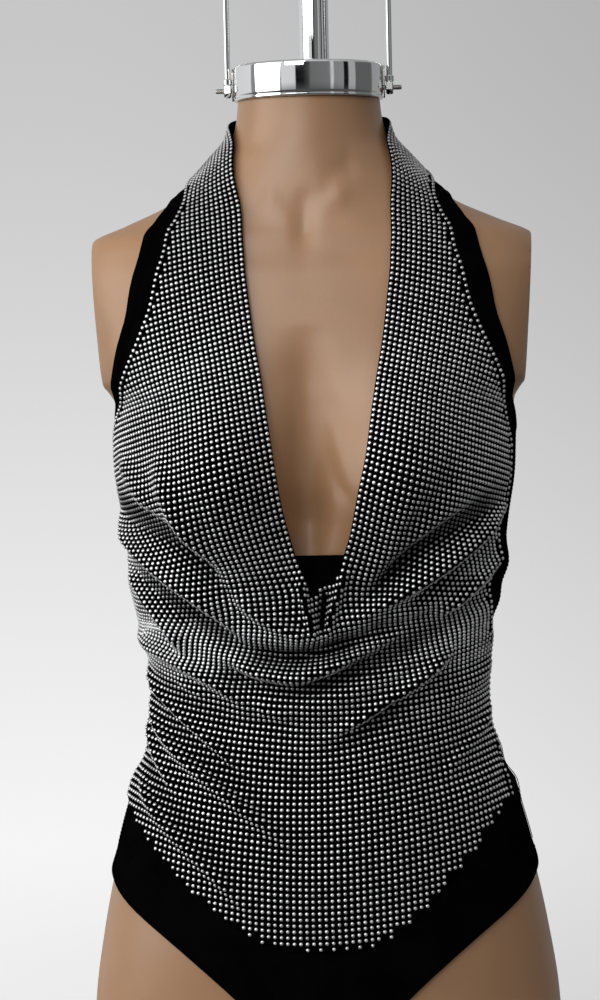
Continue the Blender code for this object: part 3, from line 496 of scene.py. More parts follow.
def skin(turn, z):
    """The form's surface."""
    return ring_point(turn, z, FORM_MOUNDS)


def normal_of(surface, turn, z):
    """Outward unit normals of a surface, by small steps in turn and height."""
    turn, z = np.broadcast_arrays(np.asarray(turn, float), np.asarray(z, float))
    swing = PROBE / TURN_LENGTH
    around = surface(turn + swing, z) - surface(turn - swing, z)
    upward = surface(turn, z + PROBE) - surface(turn, z - PROBE)
    normal = np.cross(around, upward)
    return normal / np.linalg.norm(normal, axis=-1, keepdims=True)


def fold_height(rows, turn, z, begin=FOLD_BEGIN, rise=FOLD_RISE):
    """Height that a table of folds adds at the given turns and heights."""
    across = turn * TURN_LENGTH
    total = np.zeros_like(z)
    along = np.linspace(0.0, 1.0, FOLD_STEPS)
    for turn_a, z_a, turn_b, z_b, turn_c, z_c, height, width in rows:
        a, b, c = (np.array([radians(t) * TURN_LENGTH, level])
                   for t, level in ((turn_a, z_a), (turn_b, z_b), (turn_c, z_c)))
        handle = 2 * b - (a + c) / 2
        path = (np.outer((1 - along) ** 2, a) + np.outer(2 * along * (1 - along), handle)
                + np.outer(along ** 2, c))
        low = path.min(axis=0) - FOLD_REACH * width
        high = path.max(axis=0) + FOLD_REACH * width
        near = (across > low[0]) & (across < high[0]) & (z > low[1]) & (z < high[1])
        if not near.any():
            continue
        place = np.stack([across[near], z[near]], axis=-1)
        nearest = np.linalg.norm(place[:, None, :] - path, axis=-1).argmin(axis=-1)
        slope = np.gradient(path, along, axis=0)[nearest]
        step = np.sum((place - path[nearest]) * slope, axis=-1) / np.sum(slope ** 2, axis=-1)
        at = np.clip(along[nearest] + step, 0.0, 1.0)[:, None]
        foot = (1 - at) ** 2 * a + 2 * at * (1 - at) * handle + at ** 2 * c
        away = np.linalg.norm(place - foot, axis=-1)
        at = at[:, 0]
        fade = np.minimum(begin + at / rise, (FOLD_TAIL - at) / FOLD_FALL)
        total[near] += height * np.minimum(1.0, fade) * np.exp(-(away / width) ** 2)
    return total


def hanging(turn, z):
    """Where the overlay's cloth would hang without its folds."""
    return ring_point(turn, z, DRAPE_MOUNDS)


def overlay_inside(turn, z):
    """Inner face of the overlay's wall and the wall's direction."""
    rest = skin(turn, z)
    rest_normal = normal_of(skin, turn, z)
    normal = normal_of(hanging, turn, z)
    lift = OVERLAY_LIFT + fold_height(FOLD_ROWS, turn, z)
    inside = hanging(turn, z) + normal * lift[..., None]
    stand = np.sum((inside - rest) * rest_normal, axis=-1)
    short = OVERLAY_LIFT + fold_height(BASE_FOLD_ROWS, turn, z) - stand
    push = (short + np.sqrt(short ** 2 + DRAPE_ROUND ** 2)) / 2
    return inside + rest_normal * push[..., None], normal


def overlay_outside(turn, z):
    """Outer face of the overlay, on which the rhinestones sit."""
    inside, direction = overlay_inside(turn, z)
    return inside + direction * OVERLAY_WALL


def base_inside(turn, z):
    """Inner face of the base layer and the direction of its wall."""
    normal = normal_of(skin, turn, z)
    lift = BASE_LIFT + fold_height(BASE_FOLD_ROWS, turn, z)
    return skin(turn, z) + normal * lift[..., None], normal


# ---- grids of cloth -------------------------------------------------------------------

def read_rows(columns, rows, finer):
    """Every row of a table with its in-between rows, cut finer than in its parts column."""
    index = np.arange(len(rows))
    where = [row + part / (finer * rows[row][-1])
             for row in range(len(rows) - 1) for part in range(finer * rows[row][-1])]
    where.append(len(rows) - 1.0)
    fine = {name: smooth_read(index, column(columns, rows, name), where)
            for name in columns[:-1]}
    return np.array(where), fine


def u_bend(share):
    """The hem's course from the middle (0) to the side (1)."""
    eased = share ** HEM_EASE
    return eased * eased * (3 - 2 * eased)


def panel_grid(rows, counts, finer):
    """Row number, turn and height of every corner of a front panel."""
    where, fine = read_rows(ROW_COLUMNS, rows, finer)
    left, middle, right = counts
    share_left = np.linspace(1.0, 0.0, left + 1)
    share_middle = np.linspace(0.0, 1.0, middle + 1)[1:-1]
    share_right = np.linspace(0.0, 1.0, right + 1)
    turn, z = [], []
    for i in range(len(where)):
        row = {name: values[i] for name, values in fine.items()}
        row_turn, row_z = [], []
        for (sign, side), shares in zip(SIDES, (share_left, share_right)):
            inner, inner_z, outer = row[side + "_turn"], row[side + "_z"], row["outer_" + side]
            bend = shares * (1 - row["sweep"]) + u_bend(shares) * row["sweep"]
            row_turn.append(sign * (inner + (outer - inner) * shares))
            row_z.append(inner_z + (row["outer_z"] - inner_z) * bend)
        across = row_turn[0][-1] + (row_turn[1][0] - row_turn[0][-1]) * share_middle
        across_z = row_z[0][-1] + (row_z[1][0] - row_z[0][-1]) * share_middle
        turn.append(np.concatenate([row_turn[0], across, row_turn[1]]))
        z.append(np.concatenate([row_z[0], across_z, row_z[1]]))
    return where, np.radians(turn), np.array(z)


def front_cells(where, counts, notch):
    """Which cells of a front panel's grid are cloth: all but those of the open neck."""
    cells = np.ones((len(where) - 1, sum(counts)), bool)
    above = where[:-1] < notch - TINY
    cells[np.ix_(above, range(counts[0], counts[0] + counts[1]))] = False
    return cells


def running_length(points, axis):
    """Length along a grid of points, from zero in its first row or column."""
    steps = np.linalg.norm(np.diff(points, axis=axis), axis=-1)
    total = np.cumsum(steps, axis=axis)
    return np.insert(total, 0, 0.0, axis=axis)


# ---- objects --------------------------------------------------------------------------

def link(name, mesh):
    """An object of a mesh, in the scene."""
    made = bpy.data.objects.new(name, mesh)
    bpy.context.scene.collection.objects.link(made)
    return made


def mesh_object(name, points, faces, material, smooth_angle=45, uv=None):
    """An object from points and faces, smooth up to an angle, with a UV for each point."""
    mesh = bpy.data.meshes.new(name)
    mesh.from_pydata(np.asarray(points).tolist(), [], faces)
    mesh.shade_smooth()
    mesh.set_sharp_from_angle(angle=radians(smooth_angle))
    if uv is not None:
        corners = np.empty(len(mesh.loops), np.int32)
        mesh.loops.foreach_get("vertex_index", corners)
        layer = mesh.uv_layers.new(name="weave")
        layer.data.foreach_set("uv", np.asarray(uv)[corners].astype(np.float32).ravel())
    mesh.materials.append(material)
    return link(name, mesh)


def settle_mesh(made):
    """Turn an object's modifiers into plain mesh."""
    graph = bpy.context.evaluated_depsgraph_get()
    mesh = bpy.data.meshes.new_from_object(made.evaluated_get(graph),
                                           preserve_all_data_layers=True, depsgraph=graph)
    old = made.data
    made.modifiers.clear()
    made.data = mesh
    if old.users == 0:
        bpy.data.meshes.remove(old)


def sheet_object(name, outer, inner, cells, material, uv):
    """A thin closed wall of cloth between two grids of points."""
    rows, columns, _ = outer.shape
    number = np.arange(rows * columns).reshape(rows, columns)
    a, b = number[:-1, :-1][cells], number[1:, :-1][cells]
    c, d = number[1:, 1:][cells], number[:-1, 1:][cells]
    count = rows * columns
    front = np.stack([a, b, c, d], axis=-1)
    back = count + front[:, ::-1]
    edges = {}
    for quad in front.tolist():
        for i in range(4):
            edges[quad[i], quad[(i + 1) % 4]] = True
    rim = [(q, p, count + p, count + q) for p, q in edges if (q, p) not in edges]
    faces = front.tolist() + back.tolist() + rim
    points = np.concatenate([outer.reshape(-1, 3), inner.reshape(-1, 3)])
    used = np.unique(np.concatenate([np.ravel(front), np.ravel(back)]))
    renumber = np.full(2 * count, -1)
    renumber[used] = np.arange(len(used))
    faces = [[int(renumber[i]) for i in face] for face in faces]
    places = np.concatenate([uv.reshape(-1, 2)] * 2)[used]
    return mesh_object(name, points[used], faces, material, uv=places)


def loft(name, rings, material, smooth_angle=FORM_SMOOTH):
    """A body over rings of equally many points, flat at both ends."""
    sides = len(rings[0])
    points = np.concatenate([np.asarray(ring) for ring in rings])
    faces = []
    for level in range(len(rings) - 1):
        start = level * sides
        for i in range(sides):
            j = (i + 1) % sides
            faces.append((start + i, start + j, start + sides + j, start + sides + i))
    last = (len(rings) - 1) * sides
    faces.append(tuple(reversed(range(sides))))
    faces.append(tuple(range(last, last + sides)))
    return mesh_object(name, points, faces, material, smooth_angle)


X_AXIS, Y_AXIS, Z_AXIS = np.eye(3)


def circle(centre, radius, sides, across, upright):
    """Points round a centre in the plane of two unit vectors."""
    angles = np.arange(sides) * tau / sides
    return centre + radius * (np.outer(np.cos(angles), across)
                              + np.outer(np.sin(angles), upright))


def turned(name, profile, x, material, sides=96):
    """A body turned round an upright axis at x from a profile of (radius, z), rising."""
    rings = [circle((x, 0.0, z), radius, sides, X_AXIS, Y_AXIS) for radius, z in profile]
    return loft(name, rings, material, METAL_SMOOTH)


def bar(name, profile, material, sides, turn=0.0, smooth_angle=METAL_SMOOTH):
    """A body turned round the bolt line from a profile of (radius, x), rightwards."""
    across = cos(turn) * Y_AXIS + sin(turn) * Z_AXIS
    upright = -sin(turn) * Y_AXIS + cos(turn) * Z_AXIS
    rings = [circle((x, 0.0, BOLT_LINE), radius, sides, across, upright)
             for radius, x in profile]
    return loft(name, rings, material, smooth_angle)


def joined(name, parts):
    """One object from several."""
    shape = bmesh.new()
    for part in parts:
        shape.from_mesh(part.data)
    material = parts[0].data.materials[0]
    for part in parts:
        bpy.data.objects.remove(part, do_unlink=True)
    mesh = bpy.data.meshes.new(name)
    shape.to_mesh(mesh)
    shape.free()
    mesh.materials.append(material)
    return link(name, mesh)


def rounded_corner(radius, top, rounding, steps=6):
    """Profile points of a rounded shoulder, from the wall at radius in to the top."""
    return [(radius - rounding * (1 - cos(a)), top - rounding + rounding * sin(a))
            for a in np.linspace(0.0, pi / 2, steps)]


def dress(made, body, slot, *nodes):
    """Hang a finished piece on its body's empty and hide the imported parts it replaces."""
    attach(made, body)
    if nodes:
        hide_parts(*nodes)
    return made


# ---- shader maths ---------------------------------------------------------------------

class Value:
    """A node socket that takes plain arithmetic."""

    def __init__(self, nodes, socket):
        self.nodes = nodes
        self.socket = socket

    def math(self, operation, *values):
        return self.nodes.math(operation, *values)

    def __add__(self, other):
        return self.math("ADD", self, other)

    __radd__ = __add__

    def __sub__(self, other):
        return self.math("SUBTRACT", self, other)

    def __rsub__(self, other):
        return self.math("SUBTRACT", other, self)

    def __mul__(self, other):
        return self.math("MULTIPLY", self, other)

    __rmul__ = __mul__

    def __truediv__(self, other):
        return self.math("DIVIDE", self, other)

    def sine(self):
        return self.math("SINE", self)

    def size(self):
        return self.math("ABSOLUTE", self)

    def between(self, low, high):
        """0 below low, 1 above high, and a soft step from one to the other."""
        return self.nodes.add("ShaderNodeMapRange", {"interpolation_type": "SMOOTHSTEP"},
                              {"Value": self, "From Min": low, "From Max": high})


def tinted(colour, factor):
    """A colour made darker or lighter."""
    return tuple(min(1.0, factor * part) for part in colour)


class Nodes:
    """Adds nodes to one tree."""

    def __init__(self, tree):
        self.tree = tree

    def add(self, kind, settings=None, sockets=None, out=0):
        """A node with its settings made first, then its sockets' values or links."""
        node = self.tree.nodes.new(kind)
        for name, value in (settings or {}).items():
            if name == "stops":
                for i, (place, colour) in enumerate(value):
                    ramp = node.color_ramp.elements
                    stop = ramp[i] if i < len(ramp) else ramp.new(place)
                    stop.position = place
                    stop.color = (*colour, 1.0)
            else:
                setattr(node, name, value)
        for name, value in (sockets or {}).items():
            self.feed(node.inputs[name], value)
        return Value(self, node.outputs[out])

    def feed(self, socket, value):
        """Link a socket, or set its value."""
        if isinstance(value, Value):
            self.tree.links.new(value.socket, socket)
        else:
            socket.default_value = value

    def math(self, operation, *values):
        """Scalar maths, or the length of a vector."""
        if operation == "LENGTH":
            return self.add("ShaderNodeVectorMath", {"operation": operation},
                            {0: values[0]}, out="Value")
        return self.add("ShaderNodeMath", {"operation": operation}, dict(enumerate(values)))

    def mix(self, share, low, high):
        """Two colours mixed."""
        node = self.add("ShaderNodeMix", {"data_type": "RGBA"}, {0: share}, out=2)
        for place, colour in ((6, low), (7, high)):
            if not isinstance(colour, Value):
                colour = (*colour, 1.0)
            self.feed(node.socket.node.inputs[place], colour)
        return node


class Finish(Nodes):
    """A Principled material. Its fixed values are given by socket name."""

    def __init__(self, name, colour, **fixed):
        self.material = bpy.data.materials.new(name)
        self.material.use_nodes = True
        super().__init__(self.material.node_tree)
        self.shader = self.tree.nodes["Principled BSDF"]
        self.shader.inputs["Base Color"].default_value = (*colour, 1.0)
        self.material.diffuse_color = (*colour, 1.0)
        for socket, value in fixed.items():
            self.shader.inputs[socket.replace("_", " ")].default_value = value

    def vary(self, **links):
        """Link sockets that vary over the surface."""
        for socket, value in links.items():
            self.feed(self.shader.inputs[socket.replace("_", " ")], value)
        return self

    def place(self):
        """Object coordinates."""
        return self.add("ShaderNodeTexCoord", out="Object")

    def weave(self):
        """The piece's own cloth coordinates, in metres, apart."""
        place = self.add("ShaderNodeUVMap", {"uv_map": "weave"})
        parts = self.add("ShaderNodeSeparateXYZ", None, {0: place})
        outputs = parts.socket.node.outputs
        return Value(self, outputs["X"]), Value(self, outputs["Y"])

    def noise(self, scale, detail=3.0, rough=0.5):
        """Noise on Object coordinates."""
        return self.add("ShaderNodeTexNoise", None,
                        {"Vector": self.place(), "Scale": scale, "Detail": detail,
                         "Roughness": rough}, out="Fac")

    def bump(self, height, distance, strength=1.0):
        """A normal from a height between 0 and 1."""
        return self.add("ShaderNodeBump", None, {"Height": height, "Distance": distance,
                                                 "Strength": strength}, out="Normal")


def form_finish(look):
    """Satin sprayed glass fibre."""
    paint = Finish("satin_form", look.form_colour, Roughness=0.42, Coat_Weight=0.35,
                   Coat_Roughness=0.32)
    cloud = paint.noise(9.0)
    grain = paint.noise(420.0, 2.0)
    deep, light = tinted(look.form_colour, 0.90), tinted(look.form_colour, 1.06)
    paint.vary(Base_Color=paint.mix(cloud.between(0.35, 0.65), deep, light),
               Roughness=0.38 + cloud * 0.10,
               Normal=paint.bump(grain, 0.00015, 0.5))
    return paint.material


MATT = {"Specular_IOR_Level": 0.0, "IOR": 1.05}     # black cloth without gloss


def jersey_finish(look):
    """Matt black stretch jersey with fine knit ribs."""
    paint = Finish("knit_jersey", look.jersey_colour, Roughness=0.9, **MATT)
    across, down = paint.weave()
    rib = (across * (tau / look.knit_pitch)).sine()
    stitch = (down * (tau / look.knit_pitch) + rib).sine()
    cloud = paint.noise(30.0)
    worn = tinted(look.jersey_colour, 1.9)
    paint.vary(Base_Color=paint.mix(cloud.between(0.3, 0.7), look.jersey_colour, worn),
               Roughness=0.84 + cloud * 0.12,
               Normal=paint.bump((rib * stitch) * 0.5 + 0.5, 0.00018, 0.7))
    return paint.material


def net_finish(look):
    """Black power net with its pattern of holes, which are painted darker between the threads
    as painted shade in the pits.
    """
    paint = Finish("black_net", look.net_colour, Roughness=0.8, **MATT)
    across, down = paint.weave()
    one = (across * (tau / look.net_pitch)).sine().size()
    two = (down * (tau / look.net_pitch)).sine().size()
    hole = (one * two).between(0.25, 0.6)
    # The holes get painted shade in their colour, and real roughness and bump
    paint.vary(Base_Color=paint.mix(hole, look.net_colour, tinted(look.net_colour, 0.3)),
               Roughness=0.70 + hole * 0.2,
               Normal=paint.bump(1.0 - hole, 0.00025, 0.8))
    return paint.material


def stone_finish(look):
    """Foiled crystal: bright silver, each stone a little lighter or darker at random, with a
    painted highlight in its middle that falls to a painted dark edge, painted shade in the
    folds' troughs, and darker stones on the straps.
    """
    paint = Finish("rhinestone", look.stone_colour, Metallic=1.0, Roughness=0.36)
    sparkle, core, hollow = (paint.add("ShaderNodeAttribute", {"attribute_name": name},
                                       out="Fac") for name in ("sparkle", "core", "hollow"))
    # rim is the painted dark of a stone's edge, and also the colour that painted shade darkens
    # towards
    dull, rim = tinted(look.stone_colour, 0.70), tinted(look.stone_colour, 0.05)
    # Painted shade, from the folds' troughs and the straps' darkening, dulls a stone's sparkle
    # and then darkens it towards rim
    table = paint.mix(sparkle * (1.0 - hollow * PAINTED_SHADE_SPARKLE), dull, look.stone_colour)
    table = paint.mix(hollow * PAINTED_SHADE_DARK, table, rim)
    # Painted highlight: the table colour in a stone's middle, falling to painted dark at its
    # edge
    paint.vary(Base_Color=paint.mix(core, rim, table), Roughness=0.30 + sparkle * 0.14)
    return paint.material


def chrome_finish(look):
    """Polished chrome with faint wiping marks."""
    paint = Finish("polished_chrome", look.chrome_colour, Metallic=1.0, Roughness=0.06)
    wipe = paint.noise(60.0, 4.0, 0.7)
    paint.vary(Roughness=0.035 + wipe.between(0.45, 0.75) * 0.07)
    return paint.material


def zinc_finish(look):
    """Duller plated steel of the bolts and nuts."""
    paint = Finish("plated_steel", look.zinc_colour, Metallic=1.0, Roughness=0.3)
    grain = paint.noise(900.0, 3.0)
    paint.vary(Roughness=0.2 + grain * 0.25, Normal=paint.bump(grain, 0.00008, 0.6))
    return paint.material


def thread_finish(look):
    """Black polyester sewing thread."""
    paint = Finish("black_thread", look.thread_colour, Roughness=0.9, **MATT)
    twist = paint.noise(1500.0, 2.0)
    paint.vary(Roughness=0.85 + twist * 0.1, Normal=paint.bump(twist, 0.0001, 0.6))
    return paint.material


def finish_named(name, make, look):
    """A finish that several pieces share, made once."""
    return bpy.data.materials.get(name) or make(look)


# ---- repeats --------------------------------------------------------------------------

def repeat_tree():
    """Geometry Nodes: one unit on every point, stood on its facing, turned to its along."""
    tree = bpy.data.node_groups.new("units_on_cloth", "GeometryNodeTree")
    face = tree.interface
    for name, kind in (("Points", "Geometry"), ("Unit", "Object"), ("Size", "Float"),
                       ("Size Spread", "Float"), ("Tilt", "Float"), ("Seed", "Int"),
                       ("Material", "Material")):
        face.new_socket(name, in_out="INPUT", socket_type="NodeSocket" + kind)
    face.new_socket("Units", in_out="OUTPUT", socket_type="NodeSocketGeometry")
    nodes = Nodes(tree)
    given = nodes.add("NodeGroupInput").socket.node.outputs
    take = {socket.name: Value(nodes, socket) for socket in given if socket.name}
    facing, along = (nodes.add("GeometryNodeInputNamedAttribute",
                               {"data_type": "FLOAT_VECTOR"}, {"Name": name})
                     for name in ("facing", "along"))
    stood = nodes.add("FunctionNodeAlignRotationToVector", {"axis": "Z"}, {"Vector": facing})
    turned_to = nodes.add("FunctionNodeAlignRotationToVector",
                          {"axis": "Y", "pivot_axis": "Z"},
                          {"Rotation": stood, "Vector": along})
    tilt = nodes.add("FunctionNodeRandomValue", {"data_type": "FLOAT_VECTOR"},
                     {0: (-1.0, -1.0, -1.0), 1: (1.0, 1.0, 1.0), "Seed": take["Seed"]})
    leaning = nodes.add("ShaderNodeVectorMath", {"operation": "SCALE"},
                        {0: tilt, "Scale": take["Tilt"]})
    lean = nodes.add("FunctionNodeEulerToRotation", None, {0: leaning})
    rotation = nodes.add("FunctionNodeRotateRotation", {"rotation_space": "LOCAL"},
                         {"Rotation": turned_to, "Rotate By": lean})
    spread = nodes.add("FunctionNodeRandomValue", {"data_type": "FLOAT"},
                       {2: 1.0 - take["Size Spread"], 3: 1.0 + take["Size Spread"],
                        "Seed": take["Seed"]}, out=1)
    unit = nodes.add("GeometryNodeObjectInfo", None, {"Object": take["Unit"]},
                     out="Geometry")
    many = nodes.add("GeometryNodeInstanceOnPoints", None,
                     {"Points": take["Points"], "Instance": unit, "Rotation": rotation,
                      "Scale": spread * take["Size"]})
    real = nodes.add("GeometryNodeRealizeInstances", None, {"Geometry": many})
    painted = nodes.add("GeometryNodeSetMaterial", None,
                        {"Geometry": real, "Material": take["Material"]})
    end = tree.nodes.new("NodeGroupOutput")
    nodes.feed(end.inputs[0], painted)
    return tree


def on_points(name, points, facing, along, unit, material, size=1.0, spread=0.0, tilt=0.0,
              seed=1, shades=()):
    """One mesh of a unit repeated on points, by Geometry Nodes."""
    mesh = bpy.data.meshes.new(name)
    mesh.from_pydata(points.tolist(), [], [])
    for key, vectors in (("facing", facing), ("along", along)):
        layer = mesh.attributes.new(key, "FLOAT_VECTOR", "POINT")
        layer.data.foreach_set("vector", vectors.astype(np.float32).ravel())
    for key in shades:
        layer = mesh.attributes.new(key, "FLOAT", "POINT")
        layer.data.foreach_set("value", shades[key].astype(np.float32))
    made = link(name, mesh)
    tree = bpy.data.node_groups.get("units_on_cloth") or repeat_tree()
    step = made.modifiers.new("Units", "NODES")
    step.node_group = tree
    values = {"Unit": unit, "Size": float(size), "Size Spread": float(spread),
              "Tilt": float(tilt), "Seed": int(seed), "Material": material}
    for item in tree.interface.items_tree:
        if item.in_out == "INPUT" and item.name in values:
            step[item.identifier] = values[item.name]
    settle_mesh(made)
    for key in ("facing", "along"):
        if key in made.data.attributes:
            made.data.attributes.remove(made.data.attributes[key])
    return made


def stone_unit(paint):
    """A low eight-sided dome one unit across, with a flat underside; its rings carry the
    painted highlight, bright at the top and dark at the edge.
    """
    rings = [circle((0.0, 0.0, 0.5 * height), 0.5 * radius, STONE_SIDES, X_AXIS, Y_AXIS)
             for radius, height in STONE_PROFILE]
    made = loft("stone_unit", rings, paint, STONE_SMOOTH)
    # Painted highlight: how bright each ring of the stone is painted, dark at the edge and
    # bright at the top
    core = made.data.attributes.new("core", "FLOAT", "POINT")
    core.data.foreach_set("value", np.repeat(STONE_PAINTED_HIGHLIGHT, STONE_SIDES).astype(np.float32))
    return made


def stitch_unit(paint):
    """One stitch of thread, a rounded bar one unit long in Y."""
    rings = [circle((0.0, y, STITCH_RISE), radius, STITCH_SIDES, -X_AXIS, Z_AXIS)
             for y, radius in STITCH_PROFILE]
    return loft("stitch_unit", rings, paint, 180)


# ---- the net of rhinestones -----------------------------------------------------------

class SurfaceMap:
    """The overlay's outer face, worked out once on a close grid of turns and heights."""

    def __init__(self):
        self.low, self.high = np.array(MAP_LOW), np.array(MAP_HIGH)
        self.count = np.array(MAP_CORNERS)
        turn, z = (np.linspace(*span) for span in zip(MAP_LOW, MAP_HIGH, MAP_CORNERS))
        turn, z = np.meshgrid(turn, z, indexing="ij")
        points = overlay_outside(turn.ravel(), z.ravel()).reshape(*MAP_CORNERS, 3)
        step = (self.high - self.low) / (self.count - 1)
        self.layers = np.concatenate([points, np.gradient(points, step[0], axis=0),
                                      np.gradient(points, step[1], axis=1)], axis=-1)

    def at(self, turn, z):
        """Points and their slopes along turn and z, read between the grid's corners."""
        place = np.stack([turn, z], axis=-1)
        share = (place - self.low) / (self.high - self.low) * (self.count - 1)
        share = np.clip(share, 0.0, self.count - 1.001)
        cell = share.astype(int)
        u, v = np.moveaxis(share - cell, -1, 0)[..., None]
        i, j = np.moveaxis(cell, -1, 0)
        read = self.layers
        mixed = ((read[i, j] * (1 - u) + read[i + 1, j] * u) * (1 - v)
                 + (read[i, j + 1] * (1 - u) + read[i + 1, j + 1] * u) * v)
        return mixed[..., :3], mixed[..., 3:6], mixed[..., 6:]


def inside_polygon(turn, z, outline):
    """Which places lie inside a closed outline of (turn, z)."""
    inside = np.zeros(turn.shape, bool)
    for (turn_a, z_a), (turn_b, z_b) in zip(outline, np.roll(outline, -1, axis=0)):
        if z_a == z_b:
            continue
        crosses = (z_a > z) != (z_b > z)
        at = turn_a + (z - z_a) / (z_b - z_a) * (turn_b - turn_a)
        inside ^= crosses & (turn < at)
    return inside


def clearance(points, line):
    """Distance from each point to the nearest of a line's points."""
    best = np.full(len(points), np.inf)
    for start in range(0, len(line), LINE_CHUNK):
        part = line[start:start + LINE_CHUNK]
        away = np.linalg.norm(points[:, None, :] - part, axis=-1).min(axis=1)
        best = np.minimum(best, away)
    return best


def overlay_edges():
    """The overlay's edges in (turn, z): necklines, armholes and hem."""
    where, turn, z = panel_grid(OVERLAY_ROWS, OVERLAY_COLUMNS, EDGE_FINER)
    left, middle, _ = OVERLAY_COLUMNS
    above = where <= OVERLAY_NOTCH + TINY
    pair = np.stack([turn, z], axis=-1)
    foot = pair[np.argmax(~above) - 1, left:left + middle + 1]
    return {"neck_left": pair[above, left], "foot": foot,
            "neck_right": pair[above, left + middle],
            "arm_left": pair[:, 0], "arm_right": pair[:, -1], "hem": pair[-1]}


def overlay_outline(edges):
    """The edges joined to one closed line."""
    return np.concatenate([edges["arm_left"], edges["hem"], edges["arm_right"][::-1],
                           edges["neck_right"], edges["foot"][::-1],
                           edges["neck_left"][::-1]])


def weave_lines(face, side, look):
    """Turn and height of the net's knots on one side of the V, before it settles.

    The first column keeps a fixed distance from the neckline and its guide below; each row
    then runs out along a line of the weave table with its knots evenly apart.
    """
    at = np.linspace(0.0, len(OVERLAY_ROWS), NET_SAMPLES)
    index = np.arange(len(OVERLAY_ROWS) + 1)
    sign = -1.0 if side == "left" else 1.0
    key = column(WEAVE_COLUMNS, WEAVE_ROWS, "at")
    edge = {part: column(ROW_COLUMNS, OVERLAY_ROWS, f"{side}_{part}")
            for part in ("turn", "z")}
    edge = {part: np.append(rows, 2 * rows[-1] - rows[-2]) for part, rows in edge.items()}
    far = {part: column(WEAVE_COLUMNS, WEAVE_ROWS, f"{side}_{part}") for part in ("turn", "z")}
    guide = face.at(sign * np.radians(smooth_read(index, edge["turn"], at)),
                    smooth_read(index, edge["z"], at))[0]
    spacing = smooth_read(key, column(WEAVE_COLUMNS, WEAVE_ROWS, "spacing"), at)
    step = np.linalg.norm(np.diff(guide, axis=0), axis=-1) / (look.stone_down * spacing[1:])
    number = np.concatenate([[0.0], np.cumsum(step)])
    number -= np.interp(NET_LEVEL, at, number)
    wanted = np.arange(-NET_UP, NET_DOWN + 1)
    row_at = np.interp(wanted, number, at)
    real = (wanted >= number[0]) & (wanted <= number[-1])
    start = [smooth_read(index, edge[part], row_at)[:, None] for part in ("turn", "z")]
    end = [smooth_read(key, far[part], row_at)[:, None] for part in ("turn", "z")]
    share = np.linspace(0.0, NET_PAST, NET_CUTS)
    turn, z = (a + (b - a) * share for a, b in zip(start, end))
    along = running_length(face.at(sign * np.radians(turn), z)[0], 1)
    size = np.interp(row_at, at, spacing)
    reach = look.stone_inset + np.outer(size, np.arange(NET_OUT) * look.stone_across)
    knots = np.array([np.interp(row, line, share) for row, line in zip(reach, along)])
    turn, z = (a + (b - a) * knots for a, b in zip(start, end))
    alive = real[:, None] & (reach <= along[:, -1:])
    return sign * np.radians(turn), z, alive, size, row_at > OVERLAY_NOTCH


def spring(points, push, load, alive, step, rest, stiffness):
    """Pull the knots that lie one step apart in the net to their rest distance."""
    rows, columns = step
    height, width = alive.shape
    one = (slice(0, height - rows), slice(max(0, -columns), width - max(0, columns)))
    two = (slice(rows, height), slice(max(0, columns), width - max(0, -columns)))
    both = (alive[one] & alive[two])[..., None]
    gap = points[two] - points[one]
    length = np.linalg.norm(gap, axis=-1, keepdims=True)
    wanted = (rest[one] + rest[two]) / 2
    pull = np.where(both, 0.5 * stiffness * (1 - wanted / np.maximum(length, TINY)) * gap, 0.0)
    push[one] += pull
    push[two] -= pull
    load[one] += stiffness * both
    load[two] += stiffness * both


def smooth_knots(points, push, load, alive, axis, stiffness):
    """Pull each knot towards the middle of its two neighbours along one axis."""
    ends = [slice(None)] * 2
    ends[axis] = slice(1, -1)
    before, after = list(ends), list(ends)
    before[axis], after[axis] = slice(0, -2), slice(2, None)
    ends, before, after = tuple(ends), tuple(before), tuple(after)
    three = (alive[ends] & alive[before] & alive[after])[..., None]
    pull = (points[before] + points[after]) / 2 - points[ends]
    push[ends] += np.where(three, stiffness * pull, 0.0)
    load[ends] += stiffness * three


def settle_net(face, turn, z, alive, fixed, size, look):
    """Let the net slide over the folds until its knots are evenly apart."""
    across = np.broadcast_to(size * look.stone_across, (*alive.shape, 1))
    apart = np.linalg.norm(np.diff(face.at(turn, z)[0], axis=0), axis=-1)
    apart = np.pad(apart, ((0, 1), (0, 0)), mode="edge")[..., None]
    down = np.clip(apart, NET_SQUEEZE * size * look.stone_down, size * look.stone_down)
    corner = np.hypot(across, down)
    for _ in range(NET_ROUNDS):
        points, by_turn, by_z = face.at(turn, z)
        push = np.zeros_like(points)
        load = np.full((*alive.shape, 1), TINY)
        spring(points, push, load, alive, (0, 1), across, 1.0)
        spring(points, push, load, alive, (1, 0), down, 1.0)
        spring(points, push, load, alive, (1, 1), corner, NET_SHEAR)
        spring(points, push, load, alive, (1, -1), corner, NET_SHEAR)
        smooth_knots(points, push, load, alive, 0, NET_BEND)
        smooth_knots(points, push, load, alive, 1, NET_BEND)
        move = NET_HASTE * push / load
        a = np.sum(by_turn * by_turn, axis=-1)
        b = np.sum(by_turn * by_z, axis=-1)
        c = np.sum(by_z * by_z, axis=-1)
        p = np.sum(by_turn * move, axis=-1)
        q = np.sum(by_z * move, axis=-1)
        spread = np.maximum(a * c - b * b, 1e-9)
        free = alive & ~fixed
        by_turns = np.clip((c * p - b * q) / spread, -NET_TURN_STEP, NET_TURN_STEP)
        by_heights = np.clip((a * q - b * p) / spread, -NET_Z_STEP, NET_Z_STEP)
        turn = turn + np.where(free, by_turns, 0.0)
        z = z + np.where(free, by_heights, 0.0)
    return turn, z


